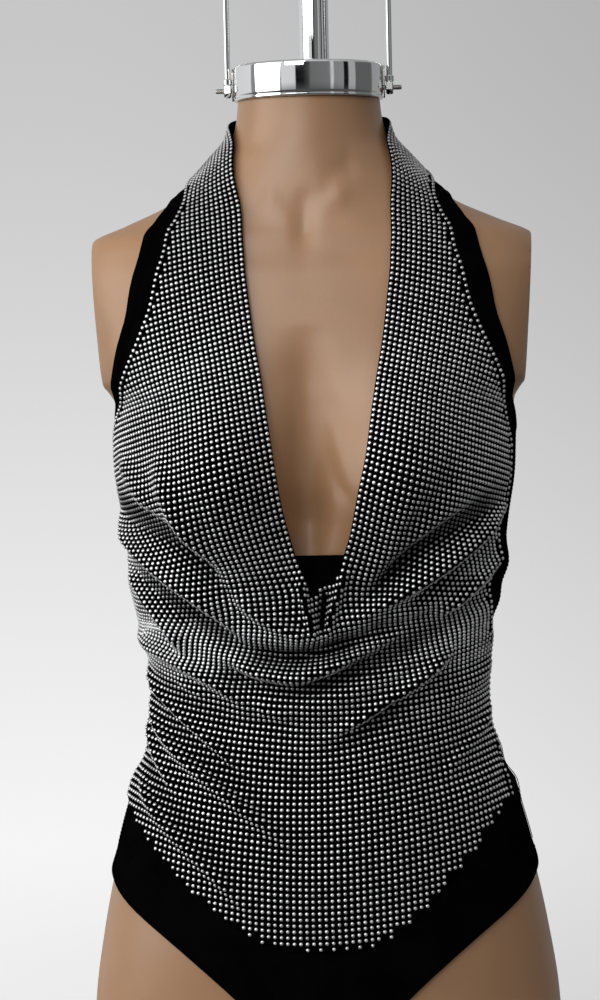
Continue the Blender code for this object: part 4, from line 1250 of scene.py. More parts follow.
def armhole_line(face, look):
    """Turn and height of the stones that follow the overlay's two side edges."""
    _, turn, z = panel_grid(OVERLAY_ROWS, OVERLAY_COLUMNS, EDGE_FINER)
    lines = []
    for side in (slice(0, 3), slice(-1, -4, -1)):
        rows = np.stack([turn[:, side], z[:, side]], axis=1)
        inward = running_length(face.at(rows[:, 0], rows[:, 1])[0], 1)
        line = np.array([[np.interp(look.stone_inset, length, part) for part in row]
                         for length, row in zip(inward, rows)])
        run = running_length(face.at(line[:, 0], line[:, 1])[0], 0)
        at = np.arange(0.5, run[-1] / look.stone_down) * look.stone_down
        lines.append(np.stack([np.interp(at, run, line[:, k]) for k in (0, 1)]))
    return np.concatenate(lines, axis=1)


def stone_places(look):
    """Turn and height of every rhinestone of the net, and of the lines at its edges."""
    face = SurfaceMap()
    left_turn, left_z, left_alive, left_size, left_low = weave_lines(face, "left", look)
    right_turn, right_z, right_alive, right_size, right_low = weave_lines(face, "right", look)
    share = np.linspace(0.0, 1.0, NET_MIDDLE + 1)[1:-1]
    middle_turn = left_turn[:, :1] + (right_turn[:, :1] - left_turn[:, :1]) * share
    middle_z = left_z[:, :1] + (right_z[:, :1] - left_z[:, :1]) * share
    below = (left_low | right_low)[:, None]
    middle_alive = below & left_alive[:, :1] & right_alive[:, :1] & (share > 0)
    turn = np.concatenate([left_turn[:, ::-1], middle_turn, right_turn], axis=1)
    z = np.concatenate([left_z[:, ::-1], middle_z, right_z], axis=1)
    alive = np.concatenate([left_alive[:, ::-1], middle_alive, right_alive], axis=1)
    fixed = np.zeros_like(alive)
    fixed[~left_low, NET_OUT - 1] = True
    fixed[~right_low, NET_OUT + NET_MIDDLE - 1] = True
    edges = overlay_edges()
    outline = overlay_outline(edges)
    rim = face.at(outline[:, 0], outline[:, 1])[0]
    points = face.at(turn, z)[0]
    inside = inside_polygon(turn, z, outline)
    near = clearance(points.reshape(-1, 3), rim).reshape(turn.shape) < NET_SPARE
    alive &= inside | near
    size = ((left_size + right_size) / 2)[:, None, None]
    turn, z = settle_net(face, turn, z, alive, fixed, size, look)
    keep = alive & inside_polygon(turn, z, outline)
    points = face.at(turn, z)[0]
    for names, clear in ((("hem",), HEM_CLEAR),
                         (("neck_left", "neck_right", "foot"), EDGE_CLEAR)):
        line = np.concatenate([edges[name] for name in names])
        line = face.at(line[:, 0], line[:, 1])[0]
        keep[keep] = clearance(points[keep], line) > clear
    line = armhole_line(face, look)
    keep[keep] = clearance(points[keep], face.at(*line)[0]) > LINE_CLEAR
    return turn, z, keep, line, face


# ---- pieces ---------------------------------------------------------------------------

def channel_size(y):
    """Height of the arch's crown and its half-width at y."""
    share = ((y - CHANNEL_CENTRE) / CHANNEL_REACH) ** 2
    return CHANNEL_TOP + CHANNEL_RISE * share, CHANNEL_WIDTH + CHANNEL_FLARE * share


def channel_outline(y, sides=40):
    """The channel's section at y, from its left foot over the crown to its right foot."""
    top, width = channel_size(y)
    arch = [(-width * cos(a), top - CHANNEL_CROWN * (1 - sin(a)))
            for a in np.linspace(0.0, pi, sides + 1)]
    return [(-width, -CHANNEL_BELOW)] + arch + [(width, -CHANNEL_BELOW)]


def bare_skin(turn, z):
    """The form's surface with the relief that the neckline leaves bare."""
    normal = normal_of(skin, turn, z)
    relief = fold_height(RELIEF_ROWS, turn, z, 0.0, RELIEF_RISE)
    return skin(turn, z) + normal * relief[..., None]


def form_body(look):
    """The form: smooth, with flat shoulder cuts and the channel between its thighs."""
    turns = np.linspace(0.0, tau, FORM_SIDES, endpoint=False)
    turns = np.where(turns > pi, turns - tau, turns)
    levels = np.linspace(0.0, NECK_TOP, FORM_LEVELS)
    rings = [bare_skin(turns, np.full(len(turns), z)) for z in levels]
    paint = finish_named("satin_form", form_finish, look)
    body = loft("form_body", rings, paint)
    shape = bmesh.new()
    shape.from_mesh(body.data)
    for side, _ in SIDES:
        place = Vector((side * SHOULDER_CUT_X, 0.0, SHOULDER_CUT_Z))
        facing = Vector((side, 0.0, -SHOULDER_CUT_LEAN)).normalized()
        high = [face for face in shape.faces if face.calc_center_median().z > ARM_ROOT_Z]
        edges = dict.fromkeys(edge for face in high for edge in face.edges)
        corners = dict.fromkeys(corner for face in high for corner in face.verts)
        cut = bmesh.ops.bisect_plane(shape, geom=[*high, *edges, *corners],
                                     plane_co=place, plane_no=facing, clear_outer=True)
        rim = [part for part in cut["geom_cut"] if isinstance(part, bmesh.types.BMEdge)]
        bmesh.ops.edgenet_fill(shape, edges=rim)
    bmesh.ops.recalc_face_normals(shape, faces=shape.faces[:])
    shape.to_mesh(body.data)
    shape.free()
    reach = CHANNEL_REACH + CHANNEL_PAST
    rings = []
    for share in np.linspace(-1.0, 1.0, CHANNEL_RINGS):
        y = CHANNEL_CENTRE + reach * share
        rings.append([(x, y, z) for x, z in channel_outline(y)])
    cutter = loft("thigh_channel", rings, paint)
    step = body.modifiers.new("Channel", "BOOLEAN")
    step.solver = "EXACT"
    step.object = cutter
    settle_mesh(body)
    bpy.data.objects.remove(cutter, do_unlink=True)
    body.data.shade_smooth()
    body.data.set_sharp_from_angle(angle=radians(FORM_SMOOTH))
    return dress(body, "form", "form_skin", "dress_form")


def hem_swell(points, line, look):
    """How much thicker cloth is near a turned edge."""
    away = clearance(points.reshape(-1, 3), line).reshape(points.shape[:-1])
    share = np.clip((look.hem_width - away) / HEM_FADE, 0.0, 1.0)
    return look.hem_lift * share * share * (3 - 2 * share)


def base_points(turn, z, edge_lines, look):
    """Outer and inner faces of base cloth, its turned edges a little thicker."""
    inside, direction = base_inside(turn, z)
    outside = inside + direction * BASE_WALL
    if len(edge_lines):
        line = base_inside(edge_lines[:, 0], edge_lines[:, 1])
        line = line[0] + line[1] * BASE_WALL
        outside = outside + direction * hem_swell(outside, line, look)[..., None]
    return outside, inside


def weave_of(points):
    """Cloth coordinates of a grid of points: metres across and metres down."""
    across = running_length(points, 1)
    middle = across[:, across.shape[1] // 2][:, None]
    return np.stack([across - middle, -running_length(points, 0)], axis=-1)


def base_front_cloth(look):
    """The front of the black base layer with its straps."""
    counts = [BASE_FINER * count for count in BASE_COLUMNS]
    where, turn, z = panel_grid(BASE_ROWS, counts, BASE_FINER)
    cells = front_cells(where, counts, BASE_NOTCH)
    pair = np.stack([turn, z], axis=-1)
    free = np.concatenate([pair[:, 0], pair[:, -1]])
    turned_in = np.tile((where <= ARM_ROW) | (where >= LEG_ROW), 2)
    outer, inner = base_points(turn, z, free[turned_in], look)
    made = sheet_object("base_front_cloth", outer, inner, cells,
                        finish_named("knit_jersey", jersey_finish, look), weave_of(outer))
    dress(made, "form", "black_jersey", "base_front")
    return made


def back_grid():
    """The back panel's fine grid."""
    _, fine = read_rows(BACK_COLUMNS, BACK_ROWS, BACK_FINER)
    share = np.linspace(-1.0, 1.0, BACK_ACROSS + 1)
    turn = 180.0 + (180.0 - fine["edge_turn"][:, None]) * share
    eased = np.abs(share) ** 2 * (3 - 2 * np.abs(share))
    z = fine["mid_z"][:, None] + (fine["edge_z"] - fine["mid_z"])[:, None] * eased
    return np.radians(turn), z


def base_back_cloth(look):
    """The low-cut back of the base layer."""
    turn, z = back_grid()
    pair = np.stack([turn, z], axis=-1)
    low = z[:, 0] < BACK_LEG_TOP
    free = np.concatenate([pair[0], pair[low, 0], pair[low, -1]])
    outer, inner = base_points(turn, z, free, look)
    cells = np.ones((turn.shape[0] - 1, turn.shape[1] - 1), bool)
    made = sheet_object("base_back_cloth", outer, inner, cells,
                        finish_named("knit_jersey", jersey_finish, look), weave_of(outer))
    dress(made, "form", "black_jersey", "base_back")
    return made


def panel_y(x, z, side):
    """y of the inner face of the front (-1) or back (+1) panel, less the seam gap."""
    power = figure_column("squareness", z)
    depth = figure_column("front" if side < 0 else "back", z)
    ring = depth * (1 - (abs(x) / figure_column("half_width", z)) ** power) ** (1 / power)
    mound = mound_push(FORM_MOUNDS, np.array([x]), np.array([z]), side)[0]
    return float(side * (ring + mound + BASE_LIFT - SEAM_GAP))


def gusset_grid():
    """Upper face of the gusset."""
    front_z = BASE_ROWS[-1][ROW_COLUMNS.index("outer_z")]
    back_z = BACK_ROWS[-1][BACK_COLUMNS.index("edge_z")]
    grid = []
    for along in np.linspace(0.0, 1.0, GUSSET_CELLS[0] + 1):
        width = GUSSET_MIDDLE + (GUSSET_END - GUSSET_MIDDLE) * (2 * along - 1) ** 2
        row = []
        for x in np.linspace(-width, width, GUSSET_CELLS[1] + 1):
            start = panel_y(x, front_z, -1)
            y = start + (panel_y(x, back_z, 1) - start) * along
            top, channel = channel_size(y)
            drop = CHANNEL_CROWN * (1 - np.sqrt(1 - (x / channel) ** 2))
            row.append((x, y, top - drop - GUSSET_DROP))
        grid.append(row)
    return np.array(grid)


def gusset_cloth(look):
    """The strip under the crotch."""
    upper = gusset_grid()
    lower = upper - np.array([0.0, 0.0, BASE_WALL])
    cells = np.ones(GUSSET_CELLS, bool)
    made = sheet_object("gusset_cloth", lower, upper, cells,
                        finish_named("knit_jersey", jersey_finish, look), weave_of(upper))
    dress(made, "form", "black_jersey", "gusset")
    return made


def overlay_cloth(look):
    """The draped net of the overlay, under its rhinestones."""
    counts = [OVERLAY_FINER[1] * count for count in OVERLAY_COLUMNS]
    where, turn, z = panel_grid(OVERLAY_ROWS, counts, OVERLAY_FINER[0])
    cells = front_cells(where, counts, OVERLAY_NOTCH)
    inside, direction = overlay_inside(turn.ravel(), z.ravel())
    outer = (inside + direction * OVERLAY_WALL).reshape(*turn.shape, 3)
    inner = outer - direction.reshape(*turn.shape, 3) * OVERLAY_THIN
    made = sheet_object("overlay_net", outer, inner, cells,
                        finish_named("black_net", net_finish, look), weave_of(outer))
    return dress(made, "form", "rhinestone_mesh", "front_overlay")


def rhinestones(look, net):
    """All the rhinestones, in three joined pieces, left, middle and right."""
    turn, z, keep, line, face = stone_places(look)
    down = np.concatenate([np.gradient(face.at(turn, z)[0], axis=0)[keep],
                           np.gradient(face.at(*line)[0], axis=0)])
    turn, z = np.append(turn[keep], line[0]), np.append(z[keep], line[1])
    points = overlay_outside(turn, z)
    facing = normal_of(overlay_outside, turn, z)
    rng = np.random.default_rng(look.seed)
    sparkle = rng.uniform(0.0, 1.0, len(turn)) ** SPARKLE_POWER
    # Painted shade: stones in the folds' troughs are painted darker the deeper the trough;
    # stones on the straps are painted darker above STRAP_FOOT
    hollow = np.clip(-fold_height(FOLD_ROWS, turn, z) / look.painted_shade_depth, 0.0, 1.0)
    strap = np.clip((z - STRAP_FOOT) / STRAP_FADE, 0.0, 1.0)
    hollow = np.maximum(hollow, look.strap_shade * strap)
    points = points - facing * look.stone_sink
    paint = finish_named("rhinestone", stone_finish, look)
    unit = stone_unit(paint)
    made = []
    for name, low, high in STONE_GROUPS:
        part = (turn > low) & (turn <= high)
        stones = on_points("rhinestones_" + name, points[part], facing[part], -down[part],
                           unit, paint, look.stone_width, look.stone_spread,
                           look.stone_tilt, look.seed,
                           {"sparkle": sparkle[part], "hollow": hollow[part]})
        made.append(dress(stones, "form", "rhinestone_mesh", "front_overlay"))
    bpy.data.objects.remove(unit, do_unlink=True)
    return made


def stitch_grids():
    """Grids whose first column is a turned edge of the base layer, as turn and height."""
    where, turn, z = panel_grid(BASE_ROWS, BASE_COLUMNS, EDGE_FINER)
    front = np.stack([turn, z], axis=-1)
    legs = where >= LEG_ROW
    left = BASE_COLUMNS[0]
    back = np.stack(back_grid(), axis=-1)
    low = back[:, 0, 1] < BACK_LEG_TOP
    return [front[~legs, :left + 1], front[~legs, :-left - 2:-1],
            front[legs, :left + 1], front[legs, :-left - 2:-1],
            back.transpose(1, 0, 2), back[low, :30], back[low, :-31:-1]]


def stitch_line(grid, inset, look):
    """Places, facings and directions of stitches that follow a grid's first column."""
    lifted, way = base_inside(grid[..., 0], grid[..., 1])
    inward = running_length(lifted, 1)
    line = np.array([[np.interp(inset, length, row[:, k]) for k in (0, 1)]
                     for length, row in zip(inward, grid)])
    run = running_length(base_inside(line[:, 0], line[:, 1])[0], 0)
    at = (np.arange(int(run[-1] // look.stitch_pitch)) + 0.5) * look.stitch_pitch
    turn, z = (np.interp(at, run, line[:, k]) for k in (0, 1))
    point, facing = base_inside(turn, z)
    point = point + facing * (BASE_WALL + look.hem_lift)
    return point, facing, np.gradient(point, axis=0)


def stitching(look):
    """Two rows of topstitching along each turned edge of the base layer."""
    lines = [stitch_line(grid, inset, look) for grid in stitch_grids()
             for inset in (look.stitch_inset, look.stitch_inset + look.stitch_gap)]
    points, facing, along = (np.concatenate(part) for part in zip(*lines))
    paint = finish_named("black_thread", thread_finish, look)
    unit = stitch_unit(paint)
    made = on_points("topstitching", points, facing, along, unit, paint,
                     look.stitch_pitch * STITCH_COVER, STITCH_LOOSE, STITCH_TILT, look.seed)
    bpy.data.objects.remove(unit, do_unlink=True)
    return dress(made, "form", "black_jersey")


def cap_body(look):
    """The round cap: polished wall, rounded shoulders and a thin lip at its foot."""
    radius, bottom, top = CAP_HIGH[0], CAP_LOW[2], CAP_HIGH[2]
    profile = [(radius - inside, bottom + rise) for inside, rise in CAP_FOOT]
    profile += rounded_corner(radius, top, look.cap_round, 8)
    profile += [(radius * share, top) for share in CAP_TOP]
    paint = finish_named("polished_chrome", chrome_finish, look)
    made = turned("cap_body", profile, 0.0, paint, CAP_SIDES)
    return dress(made, "form", "chrome", "neck_cap")


def post_body(look):
    """The upright post with a rounded top."""
    radius = (POST_HIGH[0] - POST_LOW[0]) / 2
    top = POST_HIGH[2]
    profile = [(radius, POST_LOW[2]), *rounded_corner(radius, top, POST_ROUND),
               (radius * 0.5, top), (radius * 0.02, top)]
    paint = finish_named("polished_chrome", chrome_finish, look)
    made = turned("post_body", profile, (POST_HIGH[0] + POST_LOW[0]) / 2, paint)
    return dress(made, "form", "chrome", "neck_post")


def bail_rod(look):
    """The bail: rods, arch, ferrules and the nut-shaped eyes on the bolts."""
    rod, wide = look.rod_radius, look.ferrule_radius
    x = BAIL_HIGH[0] - wide
    shoulder = BAIL_HIGH[2] - x - rod
    low, high = look.ferrule_low, look.ferrule_high
    steps = [(BOLT_LINE, rod), (low - FERRULE_LAP, rod), (low, wide - FERRULE_BEVEL),
             (low + FERRULE_BEVEL, wide), (high - FERRULE_BEVEL, wide),
             (high, wide - FERRULE_BEVEL), (high + FERRULE_LAP, rod), (ARCH_FOOT, rod)]
    path = [(np.array([-x, 0.0, z]), radius) for z, radius in steps]
    path += [(np.array([-x * cos(a), 0.0, shoulder + x * sin(a)]), rod)
             for a in np.linspace(0.0, pi, ARCH_RINGS)]
    path += [(np.array([x, 0.0, z]), radius) for z, radius in reversed(steps)]
    rings = []
    for i, (centre, radius) in enumerate(path):
        ahead = path[min(i + 1, len(path) - 1)][0] - path[max(i - 1, 0)][0]
        ahead = ahead / np.linalg.norm(ahead)
        rings.append(circle(centre, radius, ROD_SIDES, Y_AXIS, np.cross(ahead, Y_AXIS)))
    paint = finish_named("polished_chrome", chrome_finish, look)
    parts = [loft("rod", rings, paint)]
    for side, _ in SIDES:
        near, far = sorted((side * (x - EYE_HALF), side * (x + EYE_HALF)))
        profile = [(EYE_FACE, near), (EYE_RADIUS, near + EYE_BEVEL),
                   (EYE_RADIUS, far - EYE_BEVEL), (EYE_FACE, far)]
        parts.append(bar("eye", profile, paint, 6, EYE_TURN))
    made = joined("bail_rod", parts)
    made.data.shade_smooth()
    made.data.set_sharp_from_angle(angle=radians(METAL_SMOOTH))
    return dress(made, "bail", "chrome", "bail")


def lug_plates(look):
    """The thin plates between the cap and the bail's eyes, rounded at both ends."""
    paint = finish_named("plated_steel", zinc_finish, look)
    half = (LUG_HIGH[1] - LUG_LOW[1]) / 2
    angles = np.linspace(0.0, pi, LUG_STEPS)
    outline = [(half * cos(a), LUG_HIGH[2] - half + half * sin(a)) for a in angles]
    outline += [(-half * cos(a), LUG_LOW[2] + half - half * sin(a)) for a in angles]
    made = []
    for side, word in SIDES:
        faces = sorted((side * LUG_LOW[0], side * LUG_HIGH[0]))
        rings = [[(x, y, z) for y, z in outline] for x in faces]
        plate = loft("lug_plate_" + word, rings, paint)
        made.append(dress(plate, "form", "chrome", "lug_" + word))
    return made


def threaded_bolts(look):
    """The bolts: a threaded end that shows past each eye."""
    paint = finish_named("plated_steel", zinc_finish, look)
    radius = (BOLT_HIGH[2] - BOLT_LOW[2]) / 2
    start, end = BOLT_LOW[0], BOLT_HIGH[0]
    ridges = np.arange(CAP_HIGH[0] + THREAD_FREE, end - THREAD_FREE, look.thread_pitch / 2)
    shank = [(radius - BOLT_BEVEL, start), (radius, start + BOLT_BEVEL)]
    shank += [(radius - (THREAD_DEPTH if i % 2 else 0.0), x) for i, x in enumerate(ridges)]
    shank += [(radius - 2 * BOLT_BEVEL, end - BOLT_BEVEL), (radius * 0.6, end)]
    made = []
    for side, word in SIDES:
        profile = sorted(((r, side * x) for r, x in shank), key=lambda part: part[1])
        bolt = bar("threaded_bolt_" + word, profile, paint, BOLT_SIDES, 0.0, BOLT_SMOOTH)
        made.append(dress(bolt, "form", "chrome", "bolt_" + word))
    return made


# ---- stage ----------------------------------------------------------------------------

VIEW_DISTANCE = 1.90         # from the camera to the body's axis
VIEW_YAW = radians(2.5)
VIEW_PITCH = radians(4.6)
VIEW_ROLL = radians(1.25)
VIEW_SCALE = 0.00074         # metres to a pixel at the axis
VIEW_AIM = np.array([0.0, 0.0, 0.484])
VIEW_AIM_PIXEL = (317.3, 500.0)
IMAGE_SIZE = (600, 1000)
SENSOR = 36.0

LIGHT_AIM = (0.0, 0.0, 0.45)
LIGHTS = (("window", (-2.5, -1.2, 1.05), (2.4, 2.6)),     # name, place, width and height
          ("front", (-0.8, -2.3, 1.85), (1.4, 1.4)))

FLOOR_RADIUS = 2.0
FLOOR_SIDES = 64
FLOOR_Z = -0.0005
FLOOR_SHARE = 0.3            # how solid the floor is under the form
FLOOR_FADE = (0.30, 1.2)     # distances from the axis between which it melts away

BAND_TOP = (0.22, 0.50)      # rise of a view over which the upper room takes over
FLOOR_BAND = (0.10, 0.35)    # fall of a view over which the floor takes over
BACKDROP_FALL = (-0.15, 0.33)    # and over which the backdrop's colour changes
BACKDROP_LEFT = 1.12         # its brightness on the left, how much it loses to the right,
BACKDROP_LOSS = 0.24         # and the half-width over which it does
BACKDROP_HALF = 0.14

# What the room looks like from the body, by azimuth from the front, left negative: a band
# at eye level, which polished metal shows, and the part above it. Each row is an azimuth in
# degrees and a grey.
ROOM_ROWS = (
    (-180, 0.45), (-150, 0.90), (-98, 1.00), (-96, 0.35), (-88, 0.35), (-86, 1.00),
    (-57, 1.00), (-56, 0.24), (-41, 0.26), (-40, 0.95), (-18, 0.90), (-17, 0.01),
    (-6, 0.01), (3, 0.08), (5, 0.20), (36, 0.24), (37, 0.80), (41, 0.80),
    (42, 0.30), (58, 0.34), (59, 0.01), (66, 0.01), (67, 0.50), (79, 0.50),
    (80, 0.15), (116, 0.15), (118, 0.40), (170, 0.45),
)
UPPER_ROWS = (
    (-180, 0.40), (-110, 0.55), (-50, 0.65), (-10, 0.70), (30, 0.70), (100, 0.45),
    (175, 0.40),
)


def view_axes():
    """The camera's right, up and forward directions."""
    ahead = np.array([-sin(VIEW_YAW) * cos(VIEW_PITCH), cos(VIEW_YAW) * cos(VIEW_PITCH),
                      -sin(VIEW_PITCH)])
    level = np.array([cos(VIEW_YAW), sin(VIEW_YAW), 0.0])
    upright = np.cross(level, ahead)
    right = level * cos(VIEW_ROLL) - upright * sin(VIEW_ROLL)
    up = level * sin(VIEW_ROLL) + upright * cos(VIEW_ROLL)
    return right, up, ahead


def camera():
    """The photograph's camera."""
    right, up, ahead = view_axes()
    focal = VIEW_DISTANCE / VIEW_SCALE
    aim = (ahead + right * (VIEW_AIM_PIXEL[0] - IMAGE_SIZE[0] / 2) / focal
           - up * (VIEW_AIM_PIXEL[1] - IMAGE_SIZE[1] / 2) / focal)
    spot = VIEW_AIM - aim * VIEW_DISTANCE
    lens = bpy.data.cameras.new("camera")
    lens.sensor_width = SENSOR
    lens.lens = focal * SENSOR / IMAGE_SIZE[1]
    made = bpy.data.objects.new("camera", lens)
    bpy.context.scene.collection.objects.link(made)
    axes = np.stack([right, up, -ahead], axis=-1)
    made.matrix_world = Matrix([[*axes[i], spot[i]] for i in range(3)] + [[0, 0, 0, 1]])
    bpy.context.scene.camera = made


def area_light(name, place, size, power):
    """A soft light that looks at the form."""
    lamp = bpy.data.lights.new(name, "AREA")
    lamp.shape = "RECTANGLE"
    lamp.size, lamp.size_y = size
    lamp.energy = power
    made = bpy.data.objects.new(name, lamp)
    bpy.context.scene.collection.objects.link(made)
    made.location = place
    way = Vector(LIGHT_AIM) - Vector(place)
    made.rotation_euler = way.to_track_quat("-Z", "Y").to_euler()


def by_azimuth(nodes, azimuth, rows):
    """A grey read from a table by azimuth."""
    stops = [((row[0] + 180.0) / 360.0, (row[1],) * 3) for row in rows]
    return nodes.add("ShaderNodeValToRGB", {"stops": stops}, {0: azimuth / tau + 0.5})


def room(look):
    """The room's light: a bright left side, a dim right side and a plain pale backdrop."""
    world = bpy.data.worlds.new("room")
    bpy.context.scene.world = world
    world.use_nodes = True
    world.node_tree.nodes.clear()
    nodes = Nodes(world.node_tree)
    way = nodes.add("ShaderNodeTexCoord", out="Generated")
    parts = nodes.add("ShaderNodeSeparateXYZ", None, {0: way}).socket.node.outputs
    x, y, z = (Value(nodes, parts[name]) for name in "XYZ")
    azimuth = nodes.math("ARCTAN2", x, y * -1.0)
    fall = z * -1.0
    seen = nodes.mix(z.between(*BAND_TOP), by_azimuth(nodes, azimuth, ROOM_ROWS),
                     by_azimuth(nodes, azimuth, UPPER_ROWS))
    seen = nodes.mix(fall.between(*FLOOR_BAND), seen, (look.floor_glow,) * 3)
    pale = nodes.mix(fall.between(*BACKDROP_FALL), look.backdrop_high, look.backdrop_low)
    shade = BACKDROP_LEFT - BACKDROP_LOSS * x.between(-BACKDROP_HALF, BACKDROP_HALF)
    straight = nodes.add("ShaderNodeLightPath", out="Is Camera Ray")
    light = nodes.add("ShaderNodeBackground", None, {"Color": seen,
                                                     "Strength": look.room_strength})
    plain = nodes.add("ShaderNodeBackground", None, {"Color": pale, "Strength": shade})
    both = nodes.add("ShaderNodeMixShader", None, {0: straight, 1: light, 2: plain})
    end = world.node_tree.nodes.new("ShaderNodeOutputWorld")
    nodes.feed(end.inputs["Surface"], both)


def floor(look):
    """A wide pale floor that melts into the backdrop."""
    paint = Finish("floor", look.floor_colour, Roughness=0.9, Specular_IOR_Level=0.1)
    away = paint.math("LENGTH", paint.place())
    paint.vary(Alpha=FLOOR_SHARE - FLOOR_SHARE * away.between(*FLOOR_FADE))
    edge = circle((0.0, 0.0, FLOOR_Z), FLOOR_RADIUS, FLOOR_SIDES, X_AXIS, Y_AXIS)
    made = mesh_object("floor", edge, [tuple(range(FLOOR_SIDES))], paint.material)


# ---- settings -------------------------------------------------------------------------

def length_prop(name, description, default):
    """A length in metres."""
    return FloatProperty(name=name, description=description, default=default, min=0.0,
                         unit="LENGTH", precision=5)


def colour_prop(name, description, default):
    """A colour."""
    return FloatVectorProperty(name=name, description=description, default=default, size=3,
                               subtype="COLOR", min=0.0, max=1.0)


def share_prop(name, description, default):
    """A plain number."""
    return FloatProperty(name=name, description=description, default=default, min=0.0)


class BODYSUIT_PG_look(PropertyGroup):
    """Sizes and colours of the bodysuit, its form and the stage."""

    stone_width: length_prop("Rhinestone width", "Width of one rhinestone", 0.00290)
    stone_across: length_prop("Spacing across", "Distance between columns", 0.00430)
    stone_down: length_prop("Spacing down", "Distance between rows", 0.00440)
    stone_inset: length_prop("Neckline margin", "First column's distance from the neckline",
                             0.0019)
    stone_sink: length_prop("Rhinestone sink", "Depth of the stones in the net", 0.0001)
    stone_spread: share_prop("Size spread", "Share by which stones differ in size", 0.05)
    stone_tilt: FloatProperty(name="Rhinestone tilt", description="Largest lean of a stone",
                              default=0.09, min=0.0, unit="ROTATION")
    # Painted shade: the trough depth at which a fold's stones are painted fully dark
    painted_shade_depth: length_prop("Hollow depth",
                              "Depth at which a fold's stones lose their light", 0.0110)
    strap_shade: share_prop("Strap shade", "Light that stones on the straps lose", 0.38)
    stone_colour: colour_prop("Rhinestone", "Colour of the foiled stones", (0.97, 0.97, 0.98))
    net_colour: colour_prop("Net", "Colour of the overlay's net", (0.0015, 0.0015, 0.0017))
    net_pitch: length_prop("Net pitch", "Distance between the net's threads", 0.00090)
    jersey_colour: colour_prop("Jersey", "Colour of the base layer", (0.0012, 0.0012, 0.0013))
    knit_pitch: length_prop("Knit pitch", "Distance between the jersey's ribs", 0.00070)
    hem_width: length_prop("Hem width", "Width of the turned edges", 0.0085)
    hem_lift: length_prop("Hem lift", "Extra thickness of the turned edges", 0.00035)
    stitch_pitch: length_prop("Stitch length", "Distance between stitches", 0.0030)
    stitch_inset: length_prop("Stitch inset", "Distance of the stitches from the edge", 0.0055)
    stitch_gap: length_prop("Stitch gap", "Distance between the two stitch rows", 0.0020)
    thread_colour: colour_prop("Thread", "Colour of the sewing thread", (0.002, 0.002, 0.0022))
    form_colour: colour_prop("Form", "Colour of the form's finish", (0.385, 0.208, 0.104))
    chrome_colour: colour_prop("Chrome", "Colour of the polished metal", (0.86, 0.87, 0.88))
    zinc_colour: colour_prop("Bolts", "Colour of the bolts and plates", (0.50, 0.49, 0.47))
    cap_round: length_prop("Cap rounding", "Rounding of the cap's upper edge", 0.0020)
    rod_radius: length_prop("Rod radius", "Half the bail rod's thickness", 0.0022)
    ferrule_radius: length_prop("Ferrule radius", "Half the ferrule's thickness", 0.0032)
    ferrule_low: length_prop("Ferrule foot", "Height of the ferrule's lower edge", 0.7895)
    ferrule_high: length_prop("Ferrule top", "Height of the ferrule's upper edge", 0.7935)
    thread_pitch: length_prop("Thread pitch", "Pitch of the bolts' threads", 0.0007)
    floor_colour: colour_prop("Floor", "Colour of the floor", (0.80, 0.80, 0.80))
    backdrop_high: colour_prop("Backdrop above", "Backdrop colour overhead",
                               (0.50, 0.50, 0.50))
    backdrop_low: colour_prop("Backdrop below", "Backdrop colour under foot",
                              (0.88, 0.88, 0.88))
    floor_glow: share_prop("Floor glow", "Brightness of the floor in reflections", 0.10)
    room_strength: share_prop("Room strength", "Strength of the room's light", 0.75)
    window_power: share_prop("Window", "Power of the light on the left, in watts", 42.0)
    front_power: share_prop("Front light", "Power of the light in front, in watts", 26.0)
    seed: IntProperty(name="Seed", description="Seed of the small differences", default=7)


class BuildPiece:
    """Shared by the operators."""

    bl_options = {"REGISTER", "UNDO"}

    def look(self):
        return bpy.context.scene.bodysuit_look


class BODYSUIT_OT_form(BuildPiece, Operator):
    """Make the limbless dress form"""

    bl_idname = "bodysuit.form"
    bl_label = "Dress Form"

    def execute(self, context):
        form_body(self.look())
        return {"FINISHED"}


class BODYSUIT_OT_base(BuildPiece, Operator):
    """Make the black base layer: front with straps, back and gusset"""

    bl_idname = "bodysuit.base"
    bl_label = "Base Layer"

    def execute(self, context):
        base_front_cloth(self.look())
        base_back_cloth(self.look())
        gusset_cloth(self.look())
        return {"FINISHED"}


class BODYSUIT_OT_overlay(BuildPiece, Operator):
    """Make the draped net with all its rhinestones"""

    bl_idname = "bodysuit.overlay"
    bl_label = "Rhinestone Overlay"

    def execute(self, context):
        rhinestones(self.look(), overlay_cloth(self.look()))
        return {"FINISHED"}


class BODYSUIT_OT_stitching(BuildPiece, Operator):
    """Sew the base layer's turned edges"""

    bl_idname = "bodysuit.stitching"
    bl_label = "Topstitching"

    def execute(self, context):
        stitching(self.look())
        return {"FINISHED"}


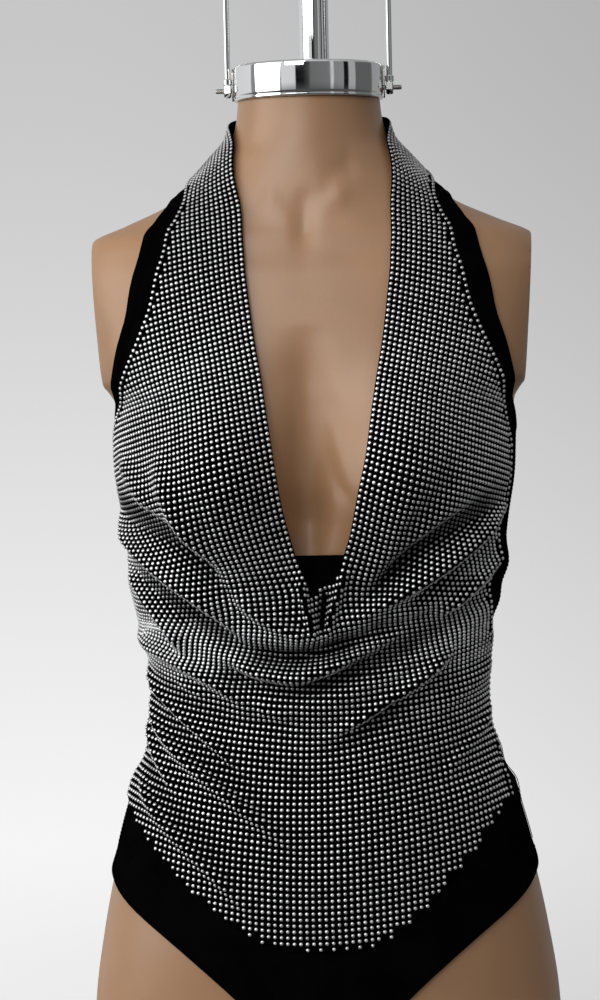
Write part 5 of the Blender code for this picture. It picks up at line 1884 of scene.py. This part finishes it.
class BODYSUIT_OT_fittings(BuildPiece, Operator):
    """Make the chrome cap, post, bail, plates and bolts"""

    bl_idname = "bodysuit.fittings"
    bl_label = "Chrome Fittings"

    def execute(self, context):
        look = self.look()
        for make in (cap_body, post_body, bail_rod, lug_plates, threaded_bolts):
            make(look)
        return {"FINISHED"}


class BODYSUIT_OT_stage(BuildPiece, Operator):
    """Set up the floor, the light and the camera"""

    bl_idname = "bodysuit.stage"
    bl_label = "Stage"

    def execute(self, context):
        look = self.look()
        floor(look)
        room(look)
        for name, place, size in LIGHTS:
            area_light(name, place, size, getattr(look, name + "_power"))
        camera()
        context.scene.view_settings.view_transform = "Standard"
        return {"FINISHED"}


class BODYSUIT_PT_build(Panel):
    """Builds the bodysuit piece by piece"""

    bl_idname = "BODYSUIT_PT_build"
    bl_label = "Rhinestone Bodysuit"
    bl_space_type = "VIEW_3D"
    bl_region_type = "UI"
    bl_category = "Bodysuit"

    def draw(self, context):
        for operator in OPERATORS:
            self.layout.operator(operator.bl_idname)
        for name in BODYSUIT_PG_look.__annotations__:
            self.layout.prop(context.scene.bodysuit_look, name)


OPERATORS = (BODYSUIT_OT_form, BODYSUIT_OT_base, BODYSUIT_OT_overlay, BODYSUIT_OT_stitching,
             BODYSUIT_OT_fittings, BODYSUIT_OT_stage)
CLASSES = (BODYSUIT_PG_look, *OPERATORS, BODYSUIT_PT_build)


def register():
    """Register the add-on's classes and its settings."""
    for kind in CLASSES:
        bpy.utils.register_class(kind)
    bpy.types.Scene.bodysuit_look = PointerProperty(type=BODYSUIT_PG_look)


def unregister():
    """Take them away again."""
    del bpy.types.Scene.bodysuit_look
    for kind in reversed(CLASSES):
        bpy.utils.unregister_class(kind)


def main():
    """Build every piece and the stage."""
    register()
    bpy.ops.bodysuit.form()
    bpy.ops.bodysuit.base()
    bpy.ops.bodysuit.overlay()
    bpy.ops.bodysuit.stitching()
    bpy.ops.bodysuit.fittings()
    bpy.ops.bodysuit.stage()


if __name__ == "__main__":
    main()
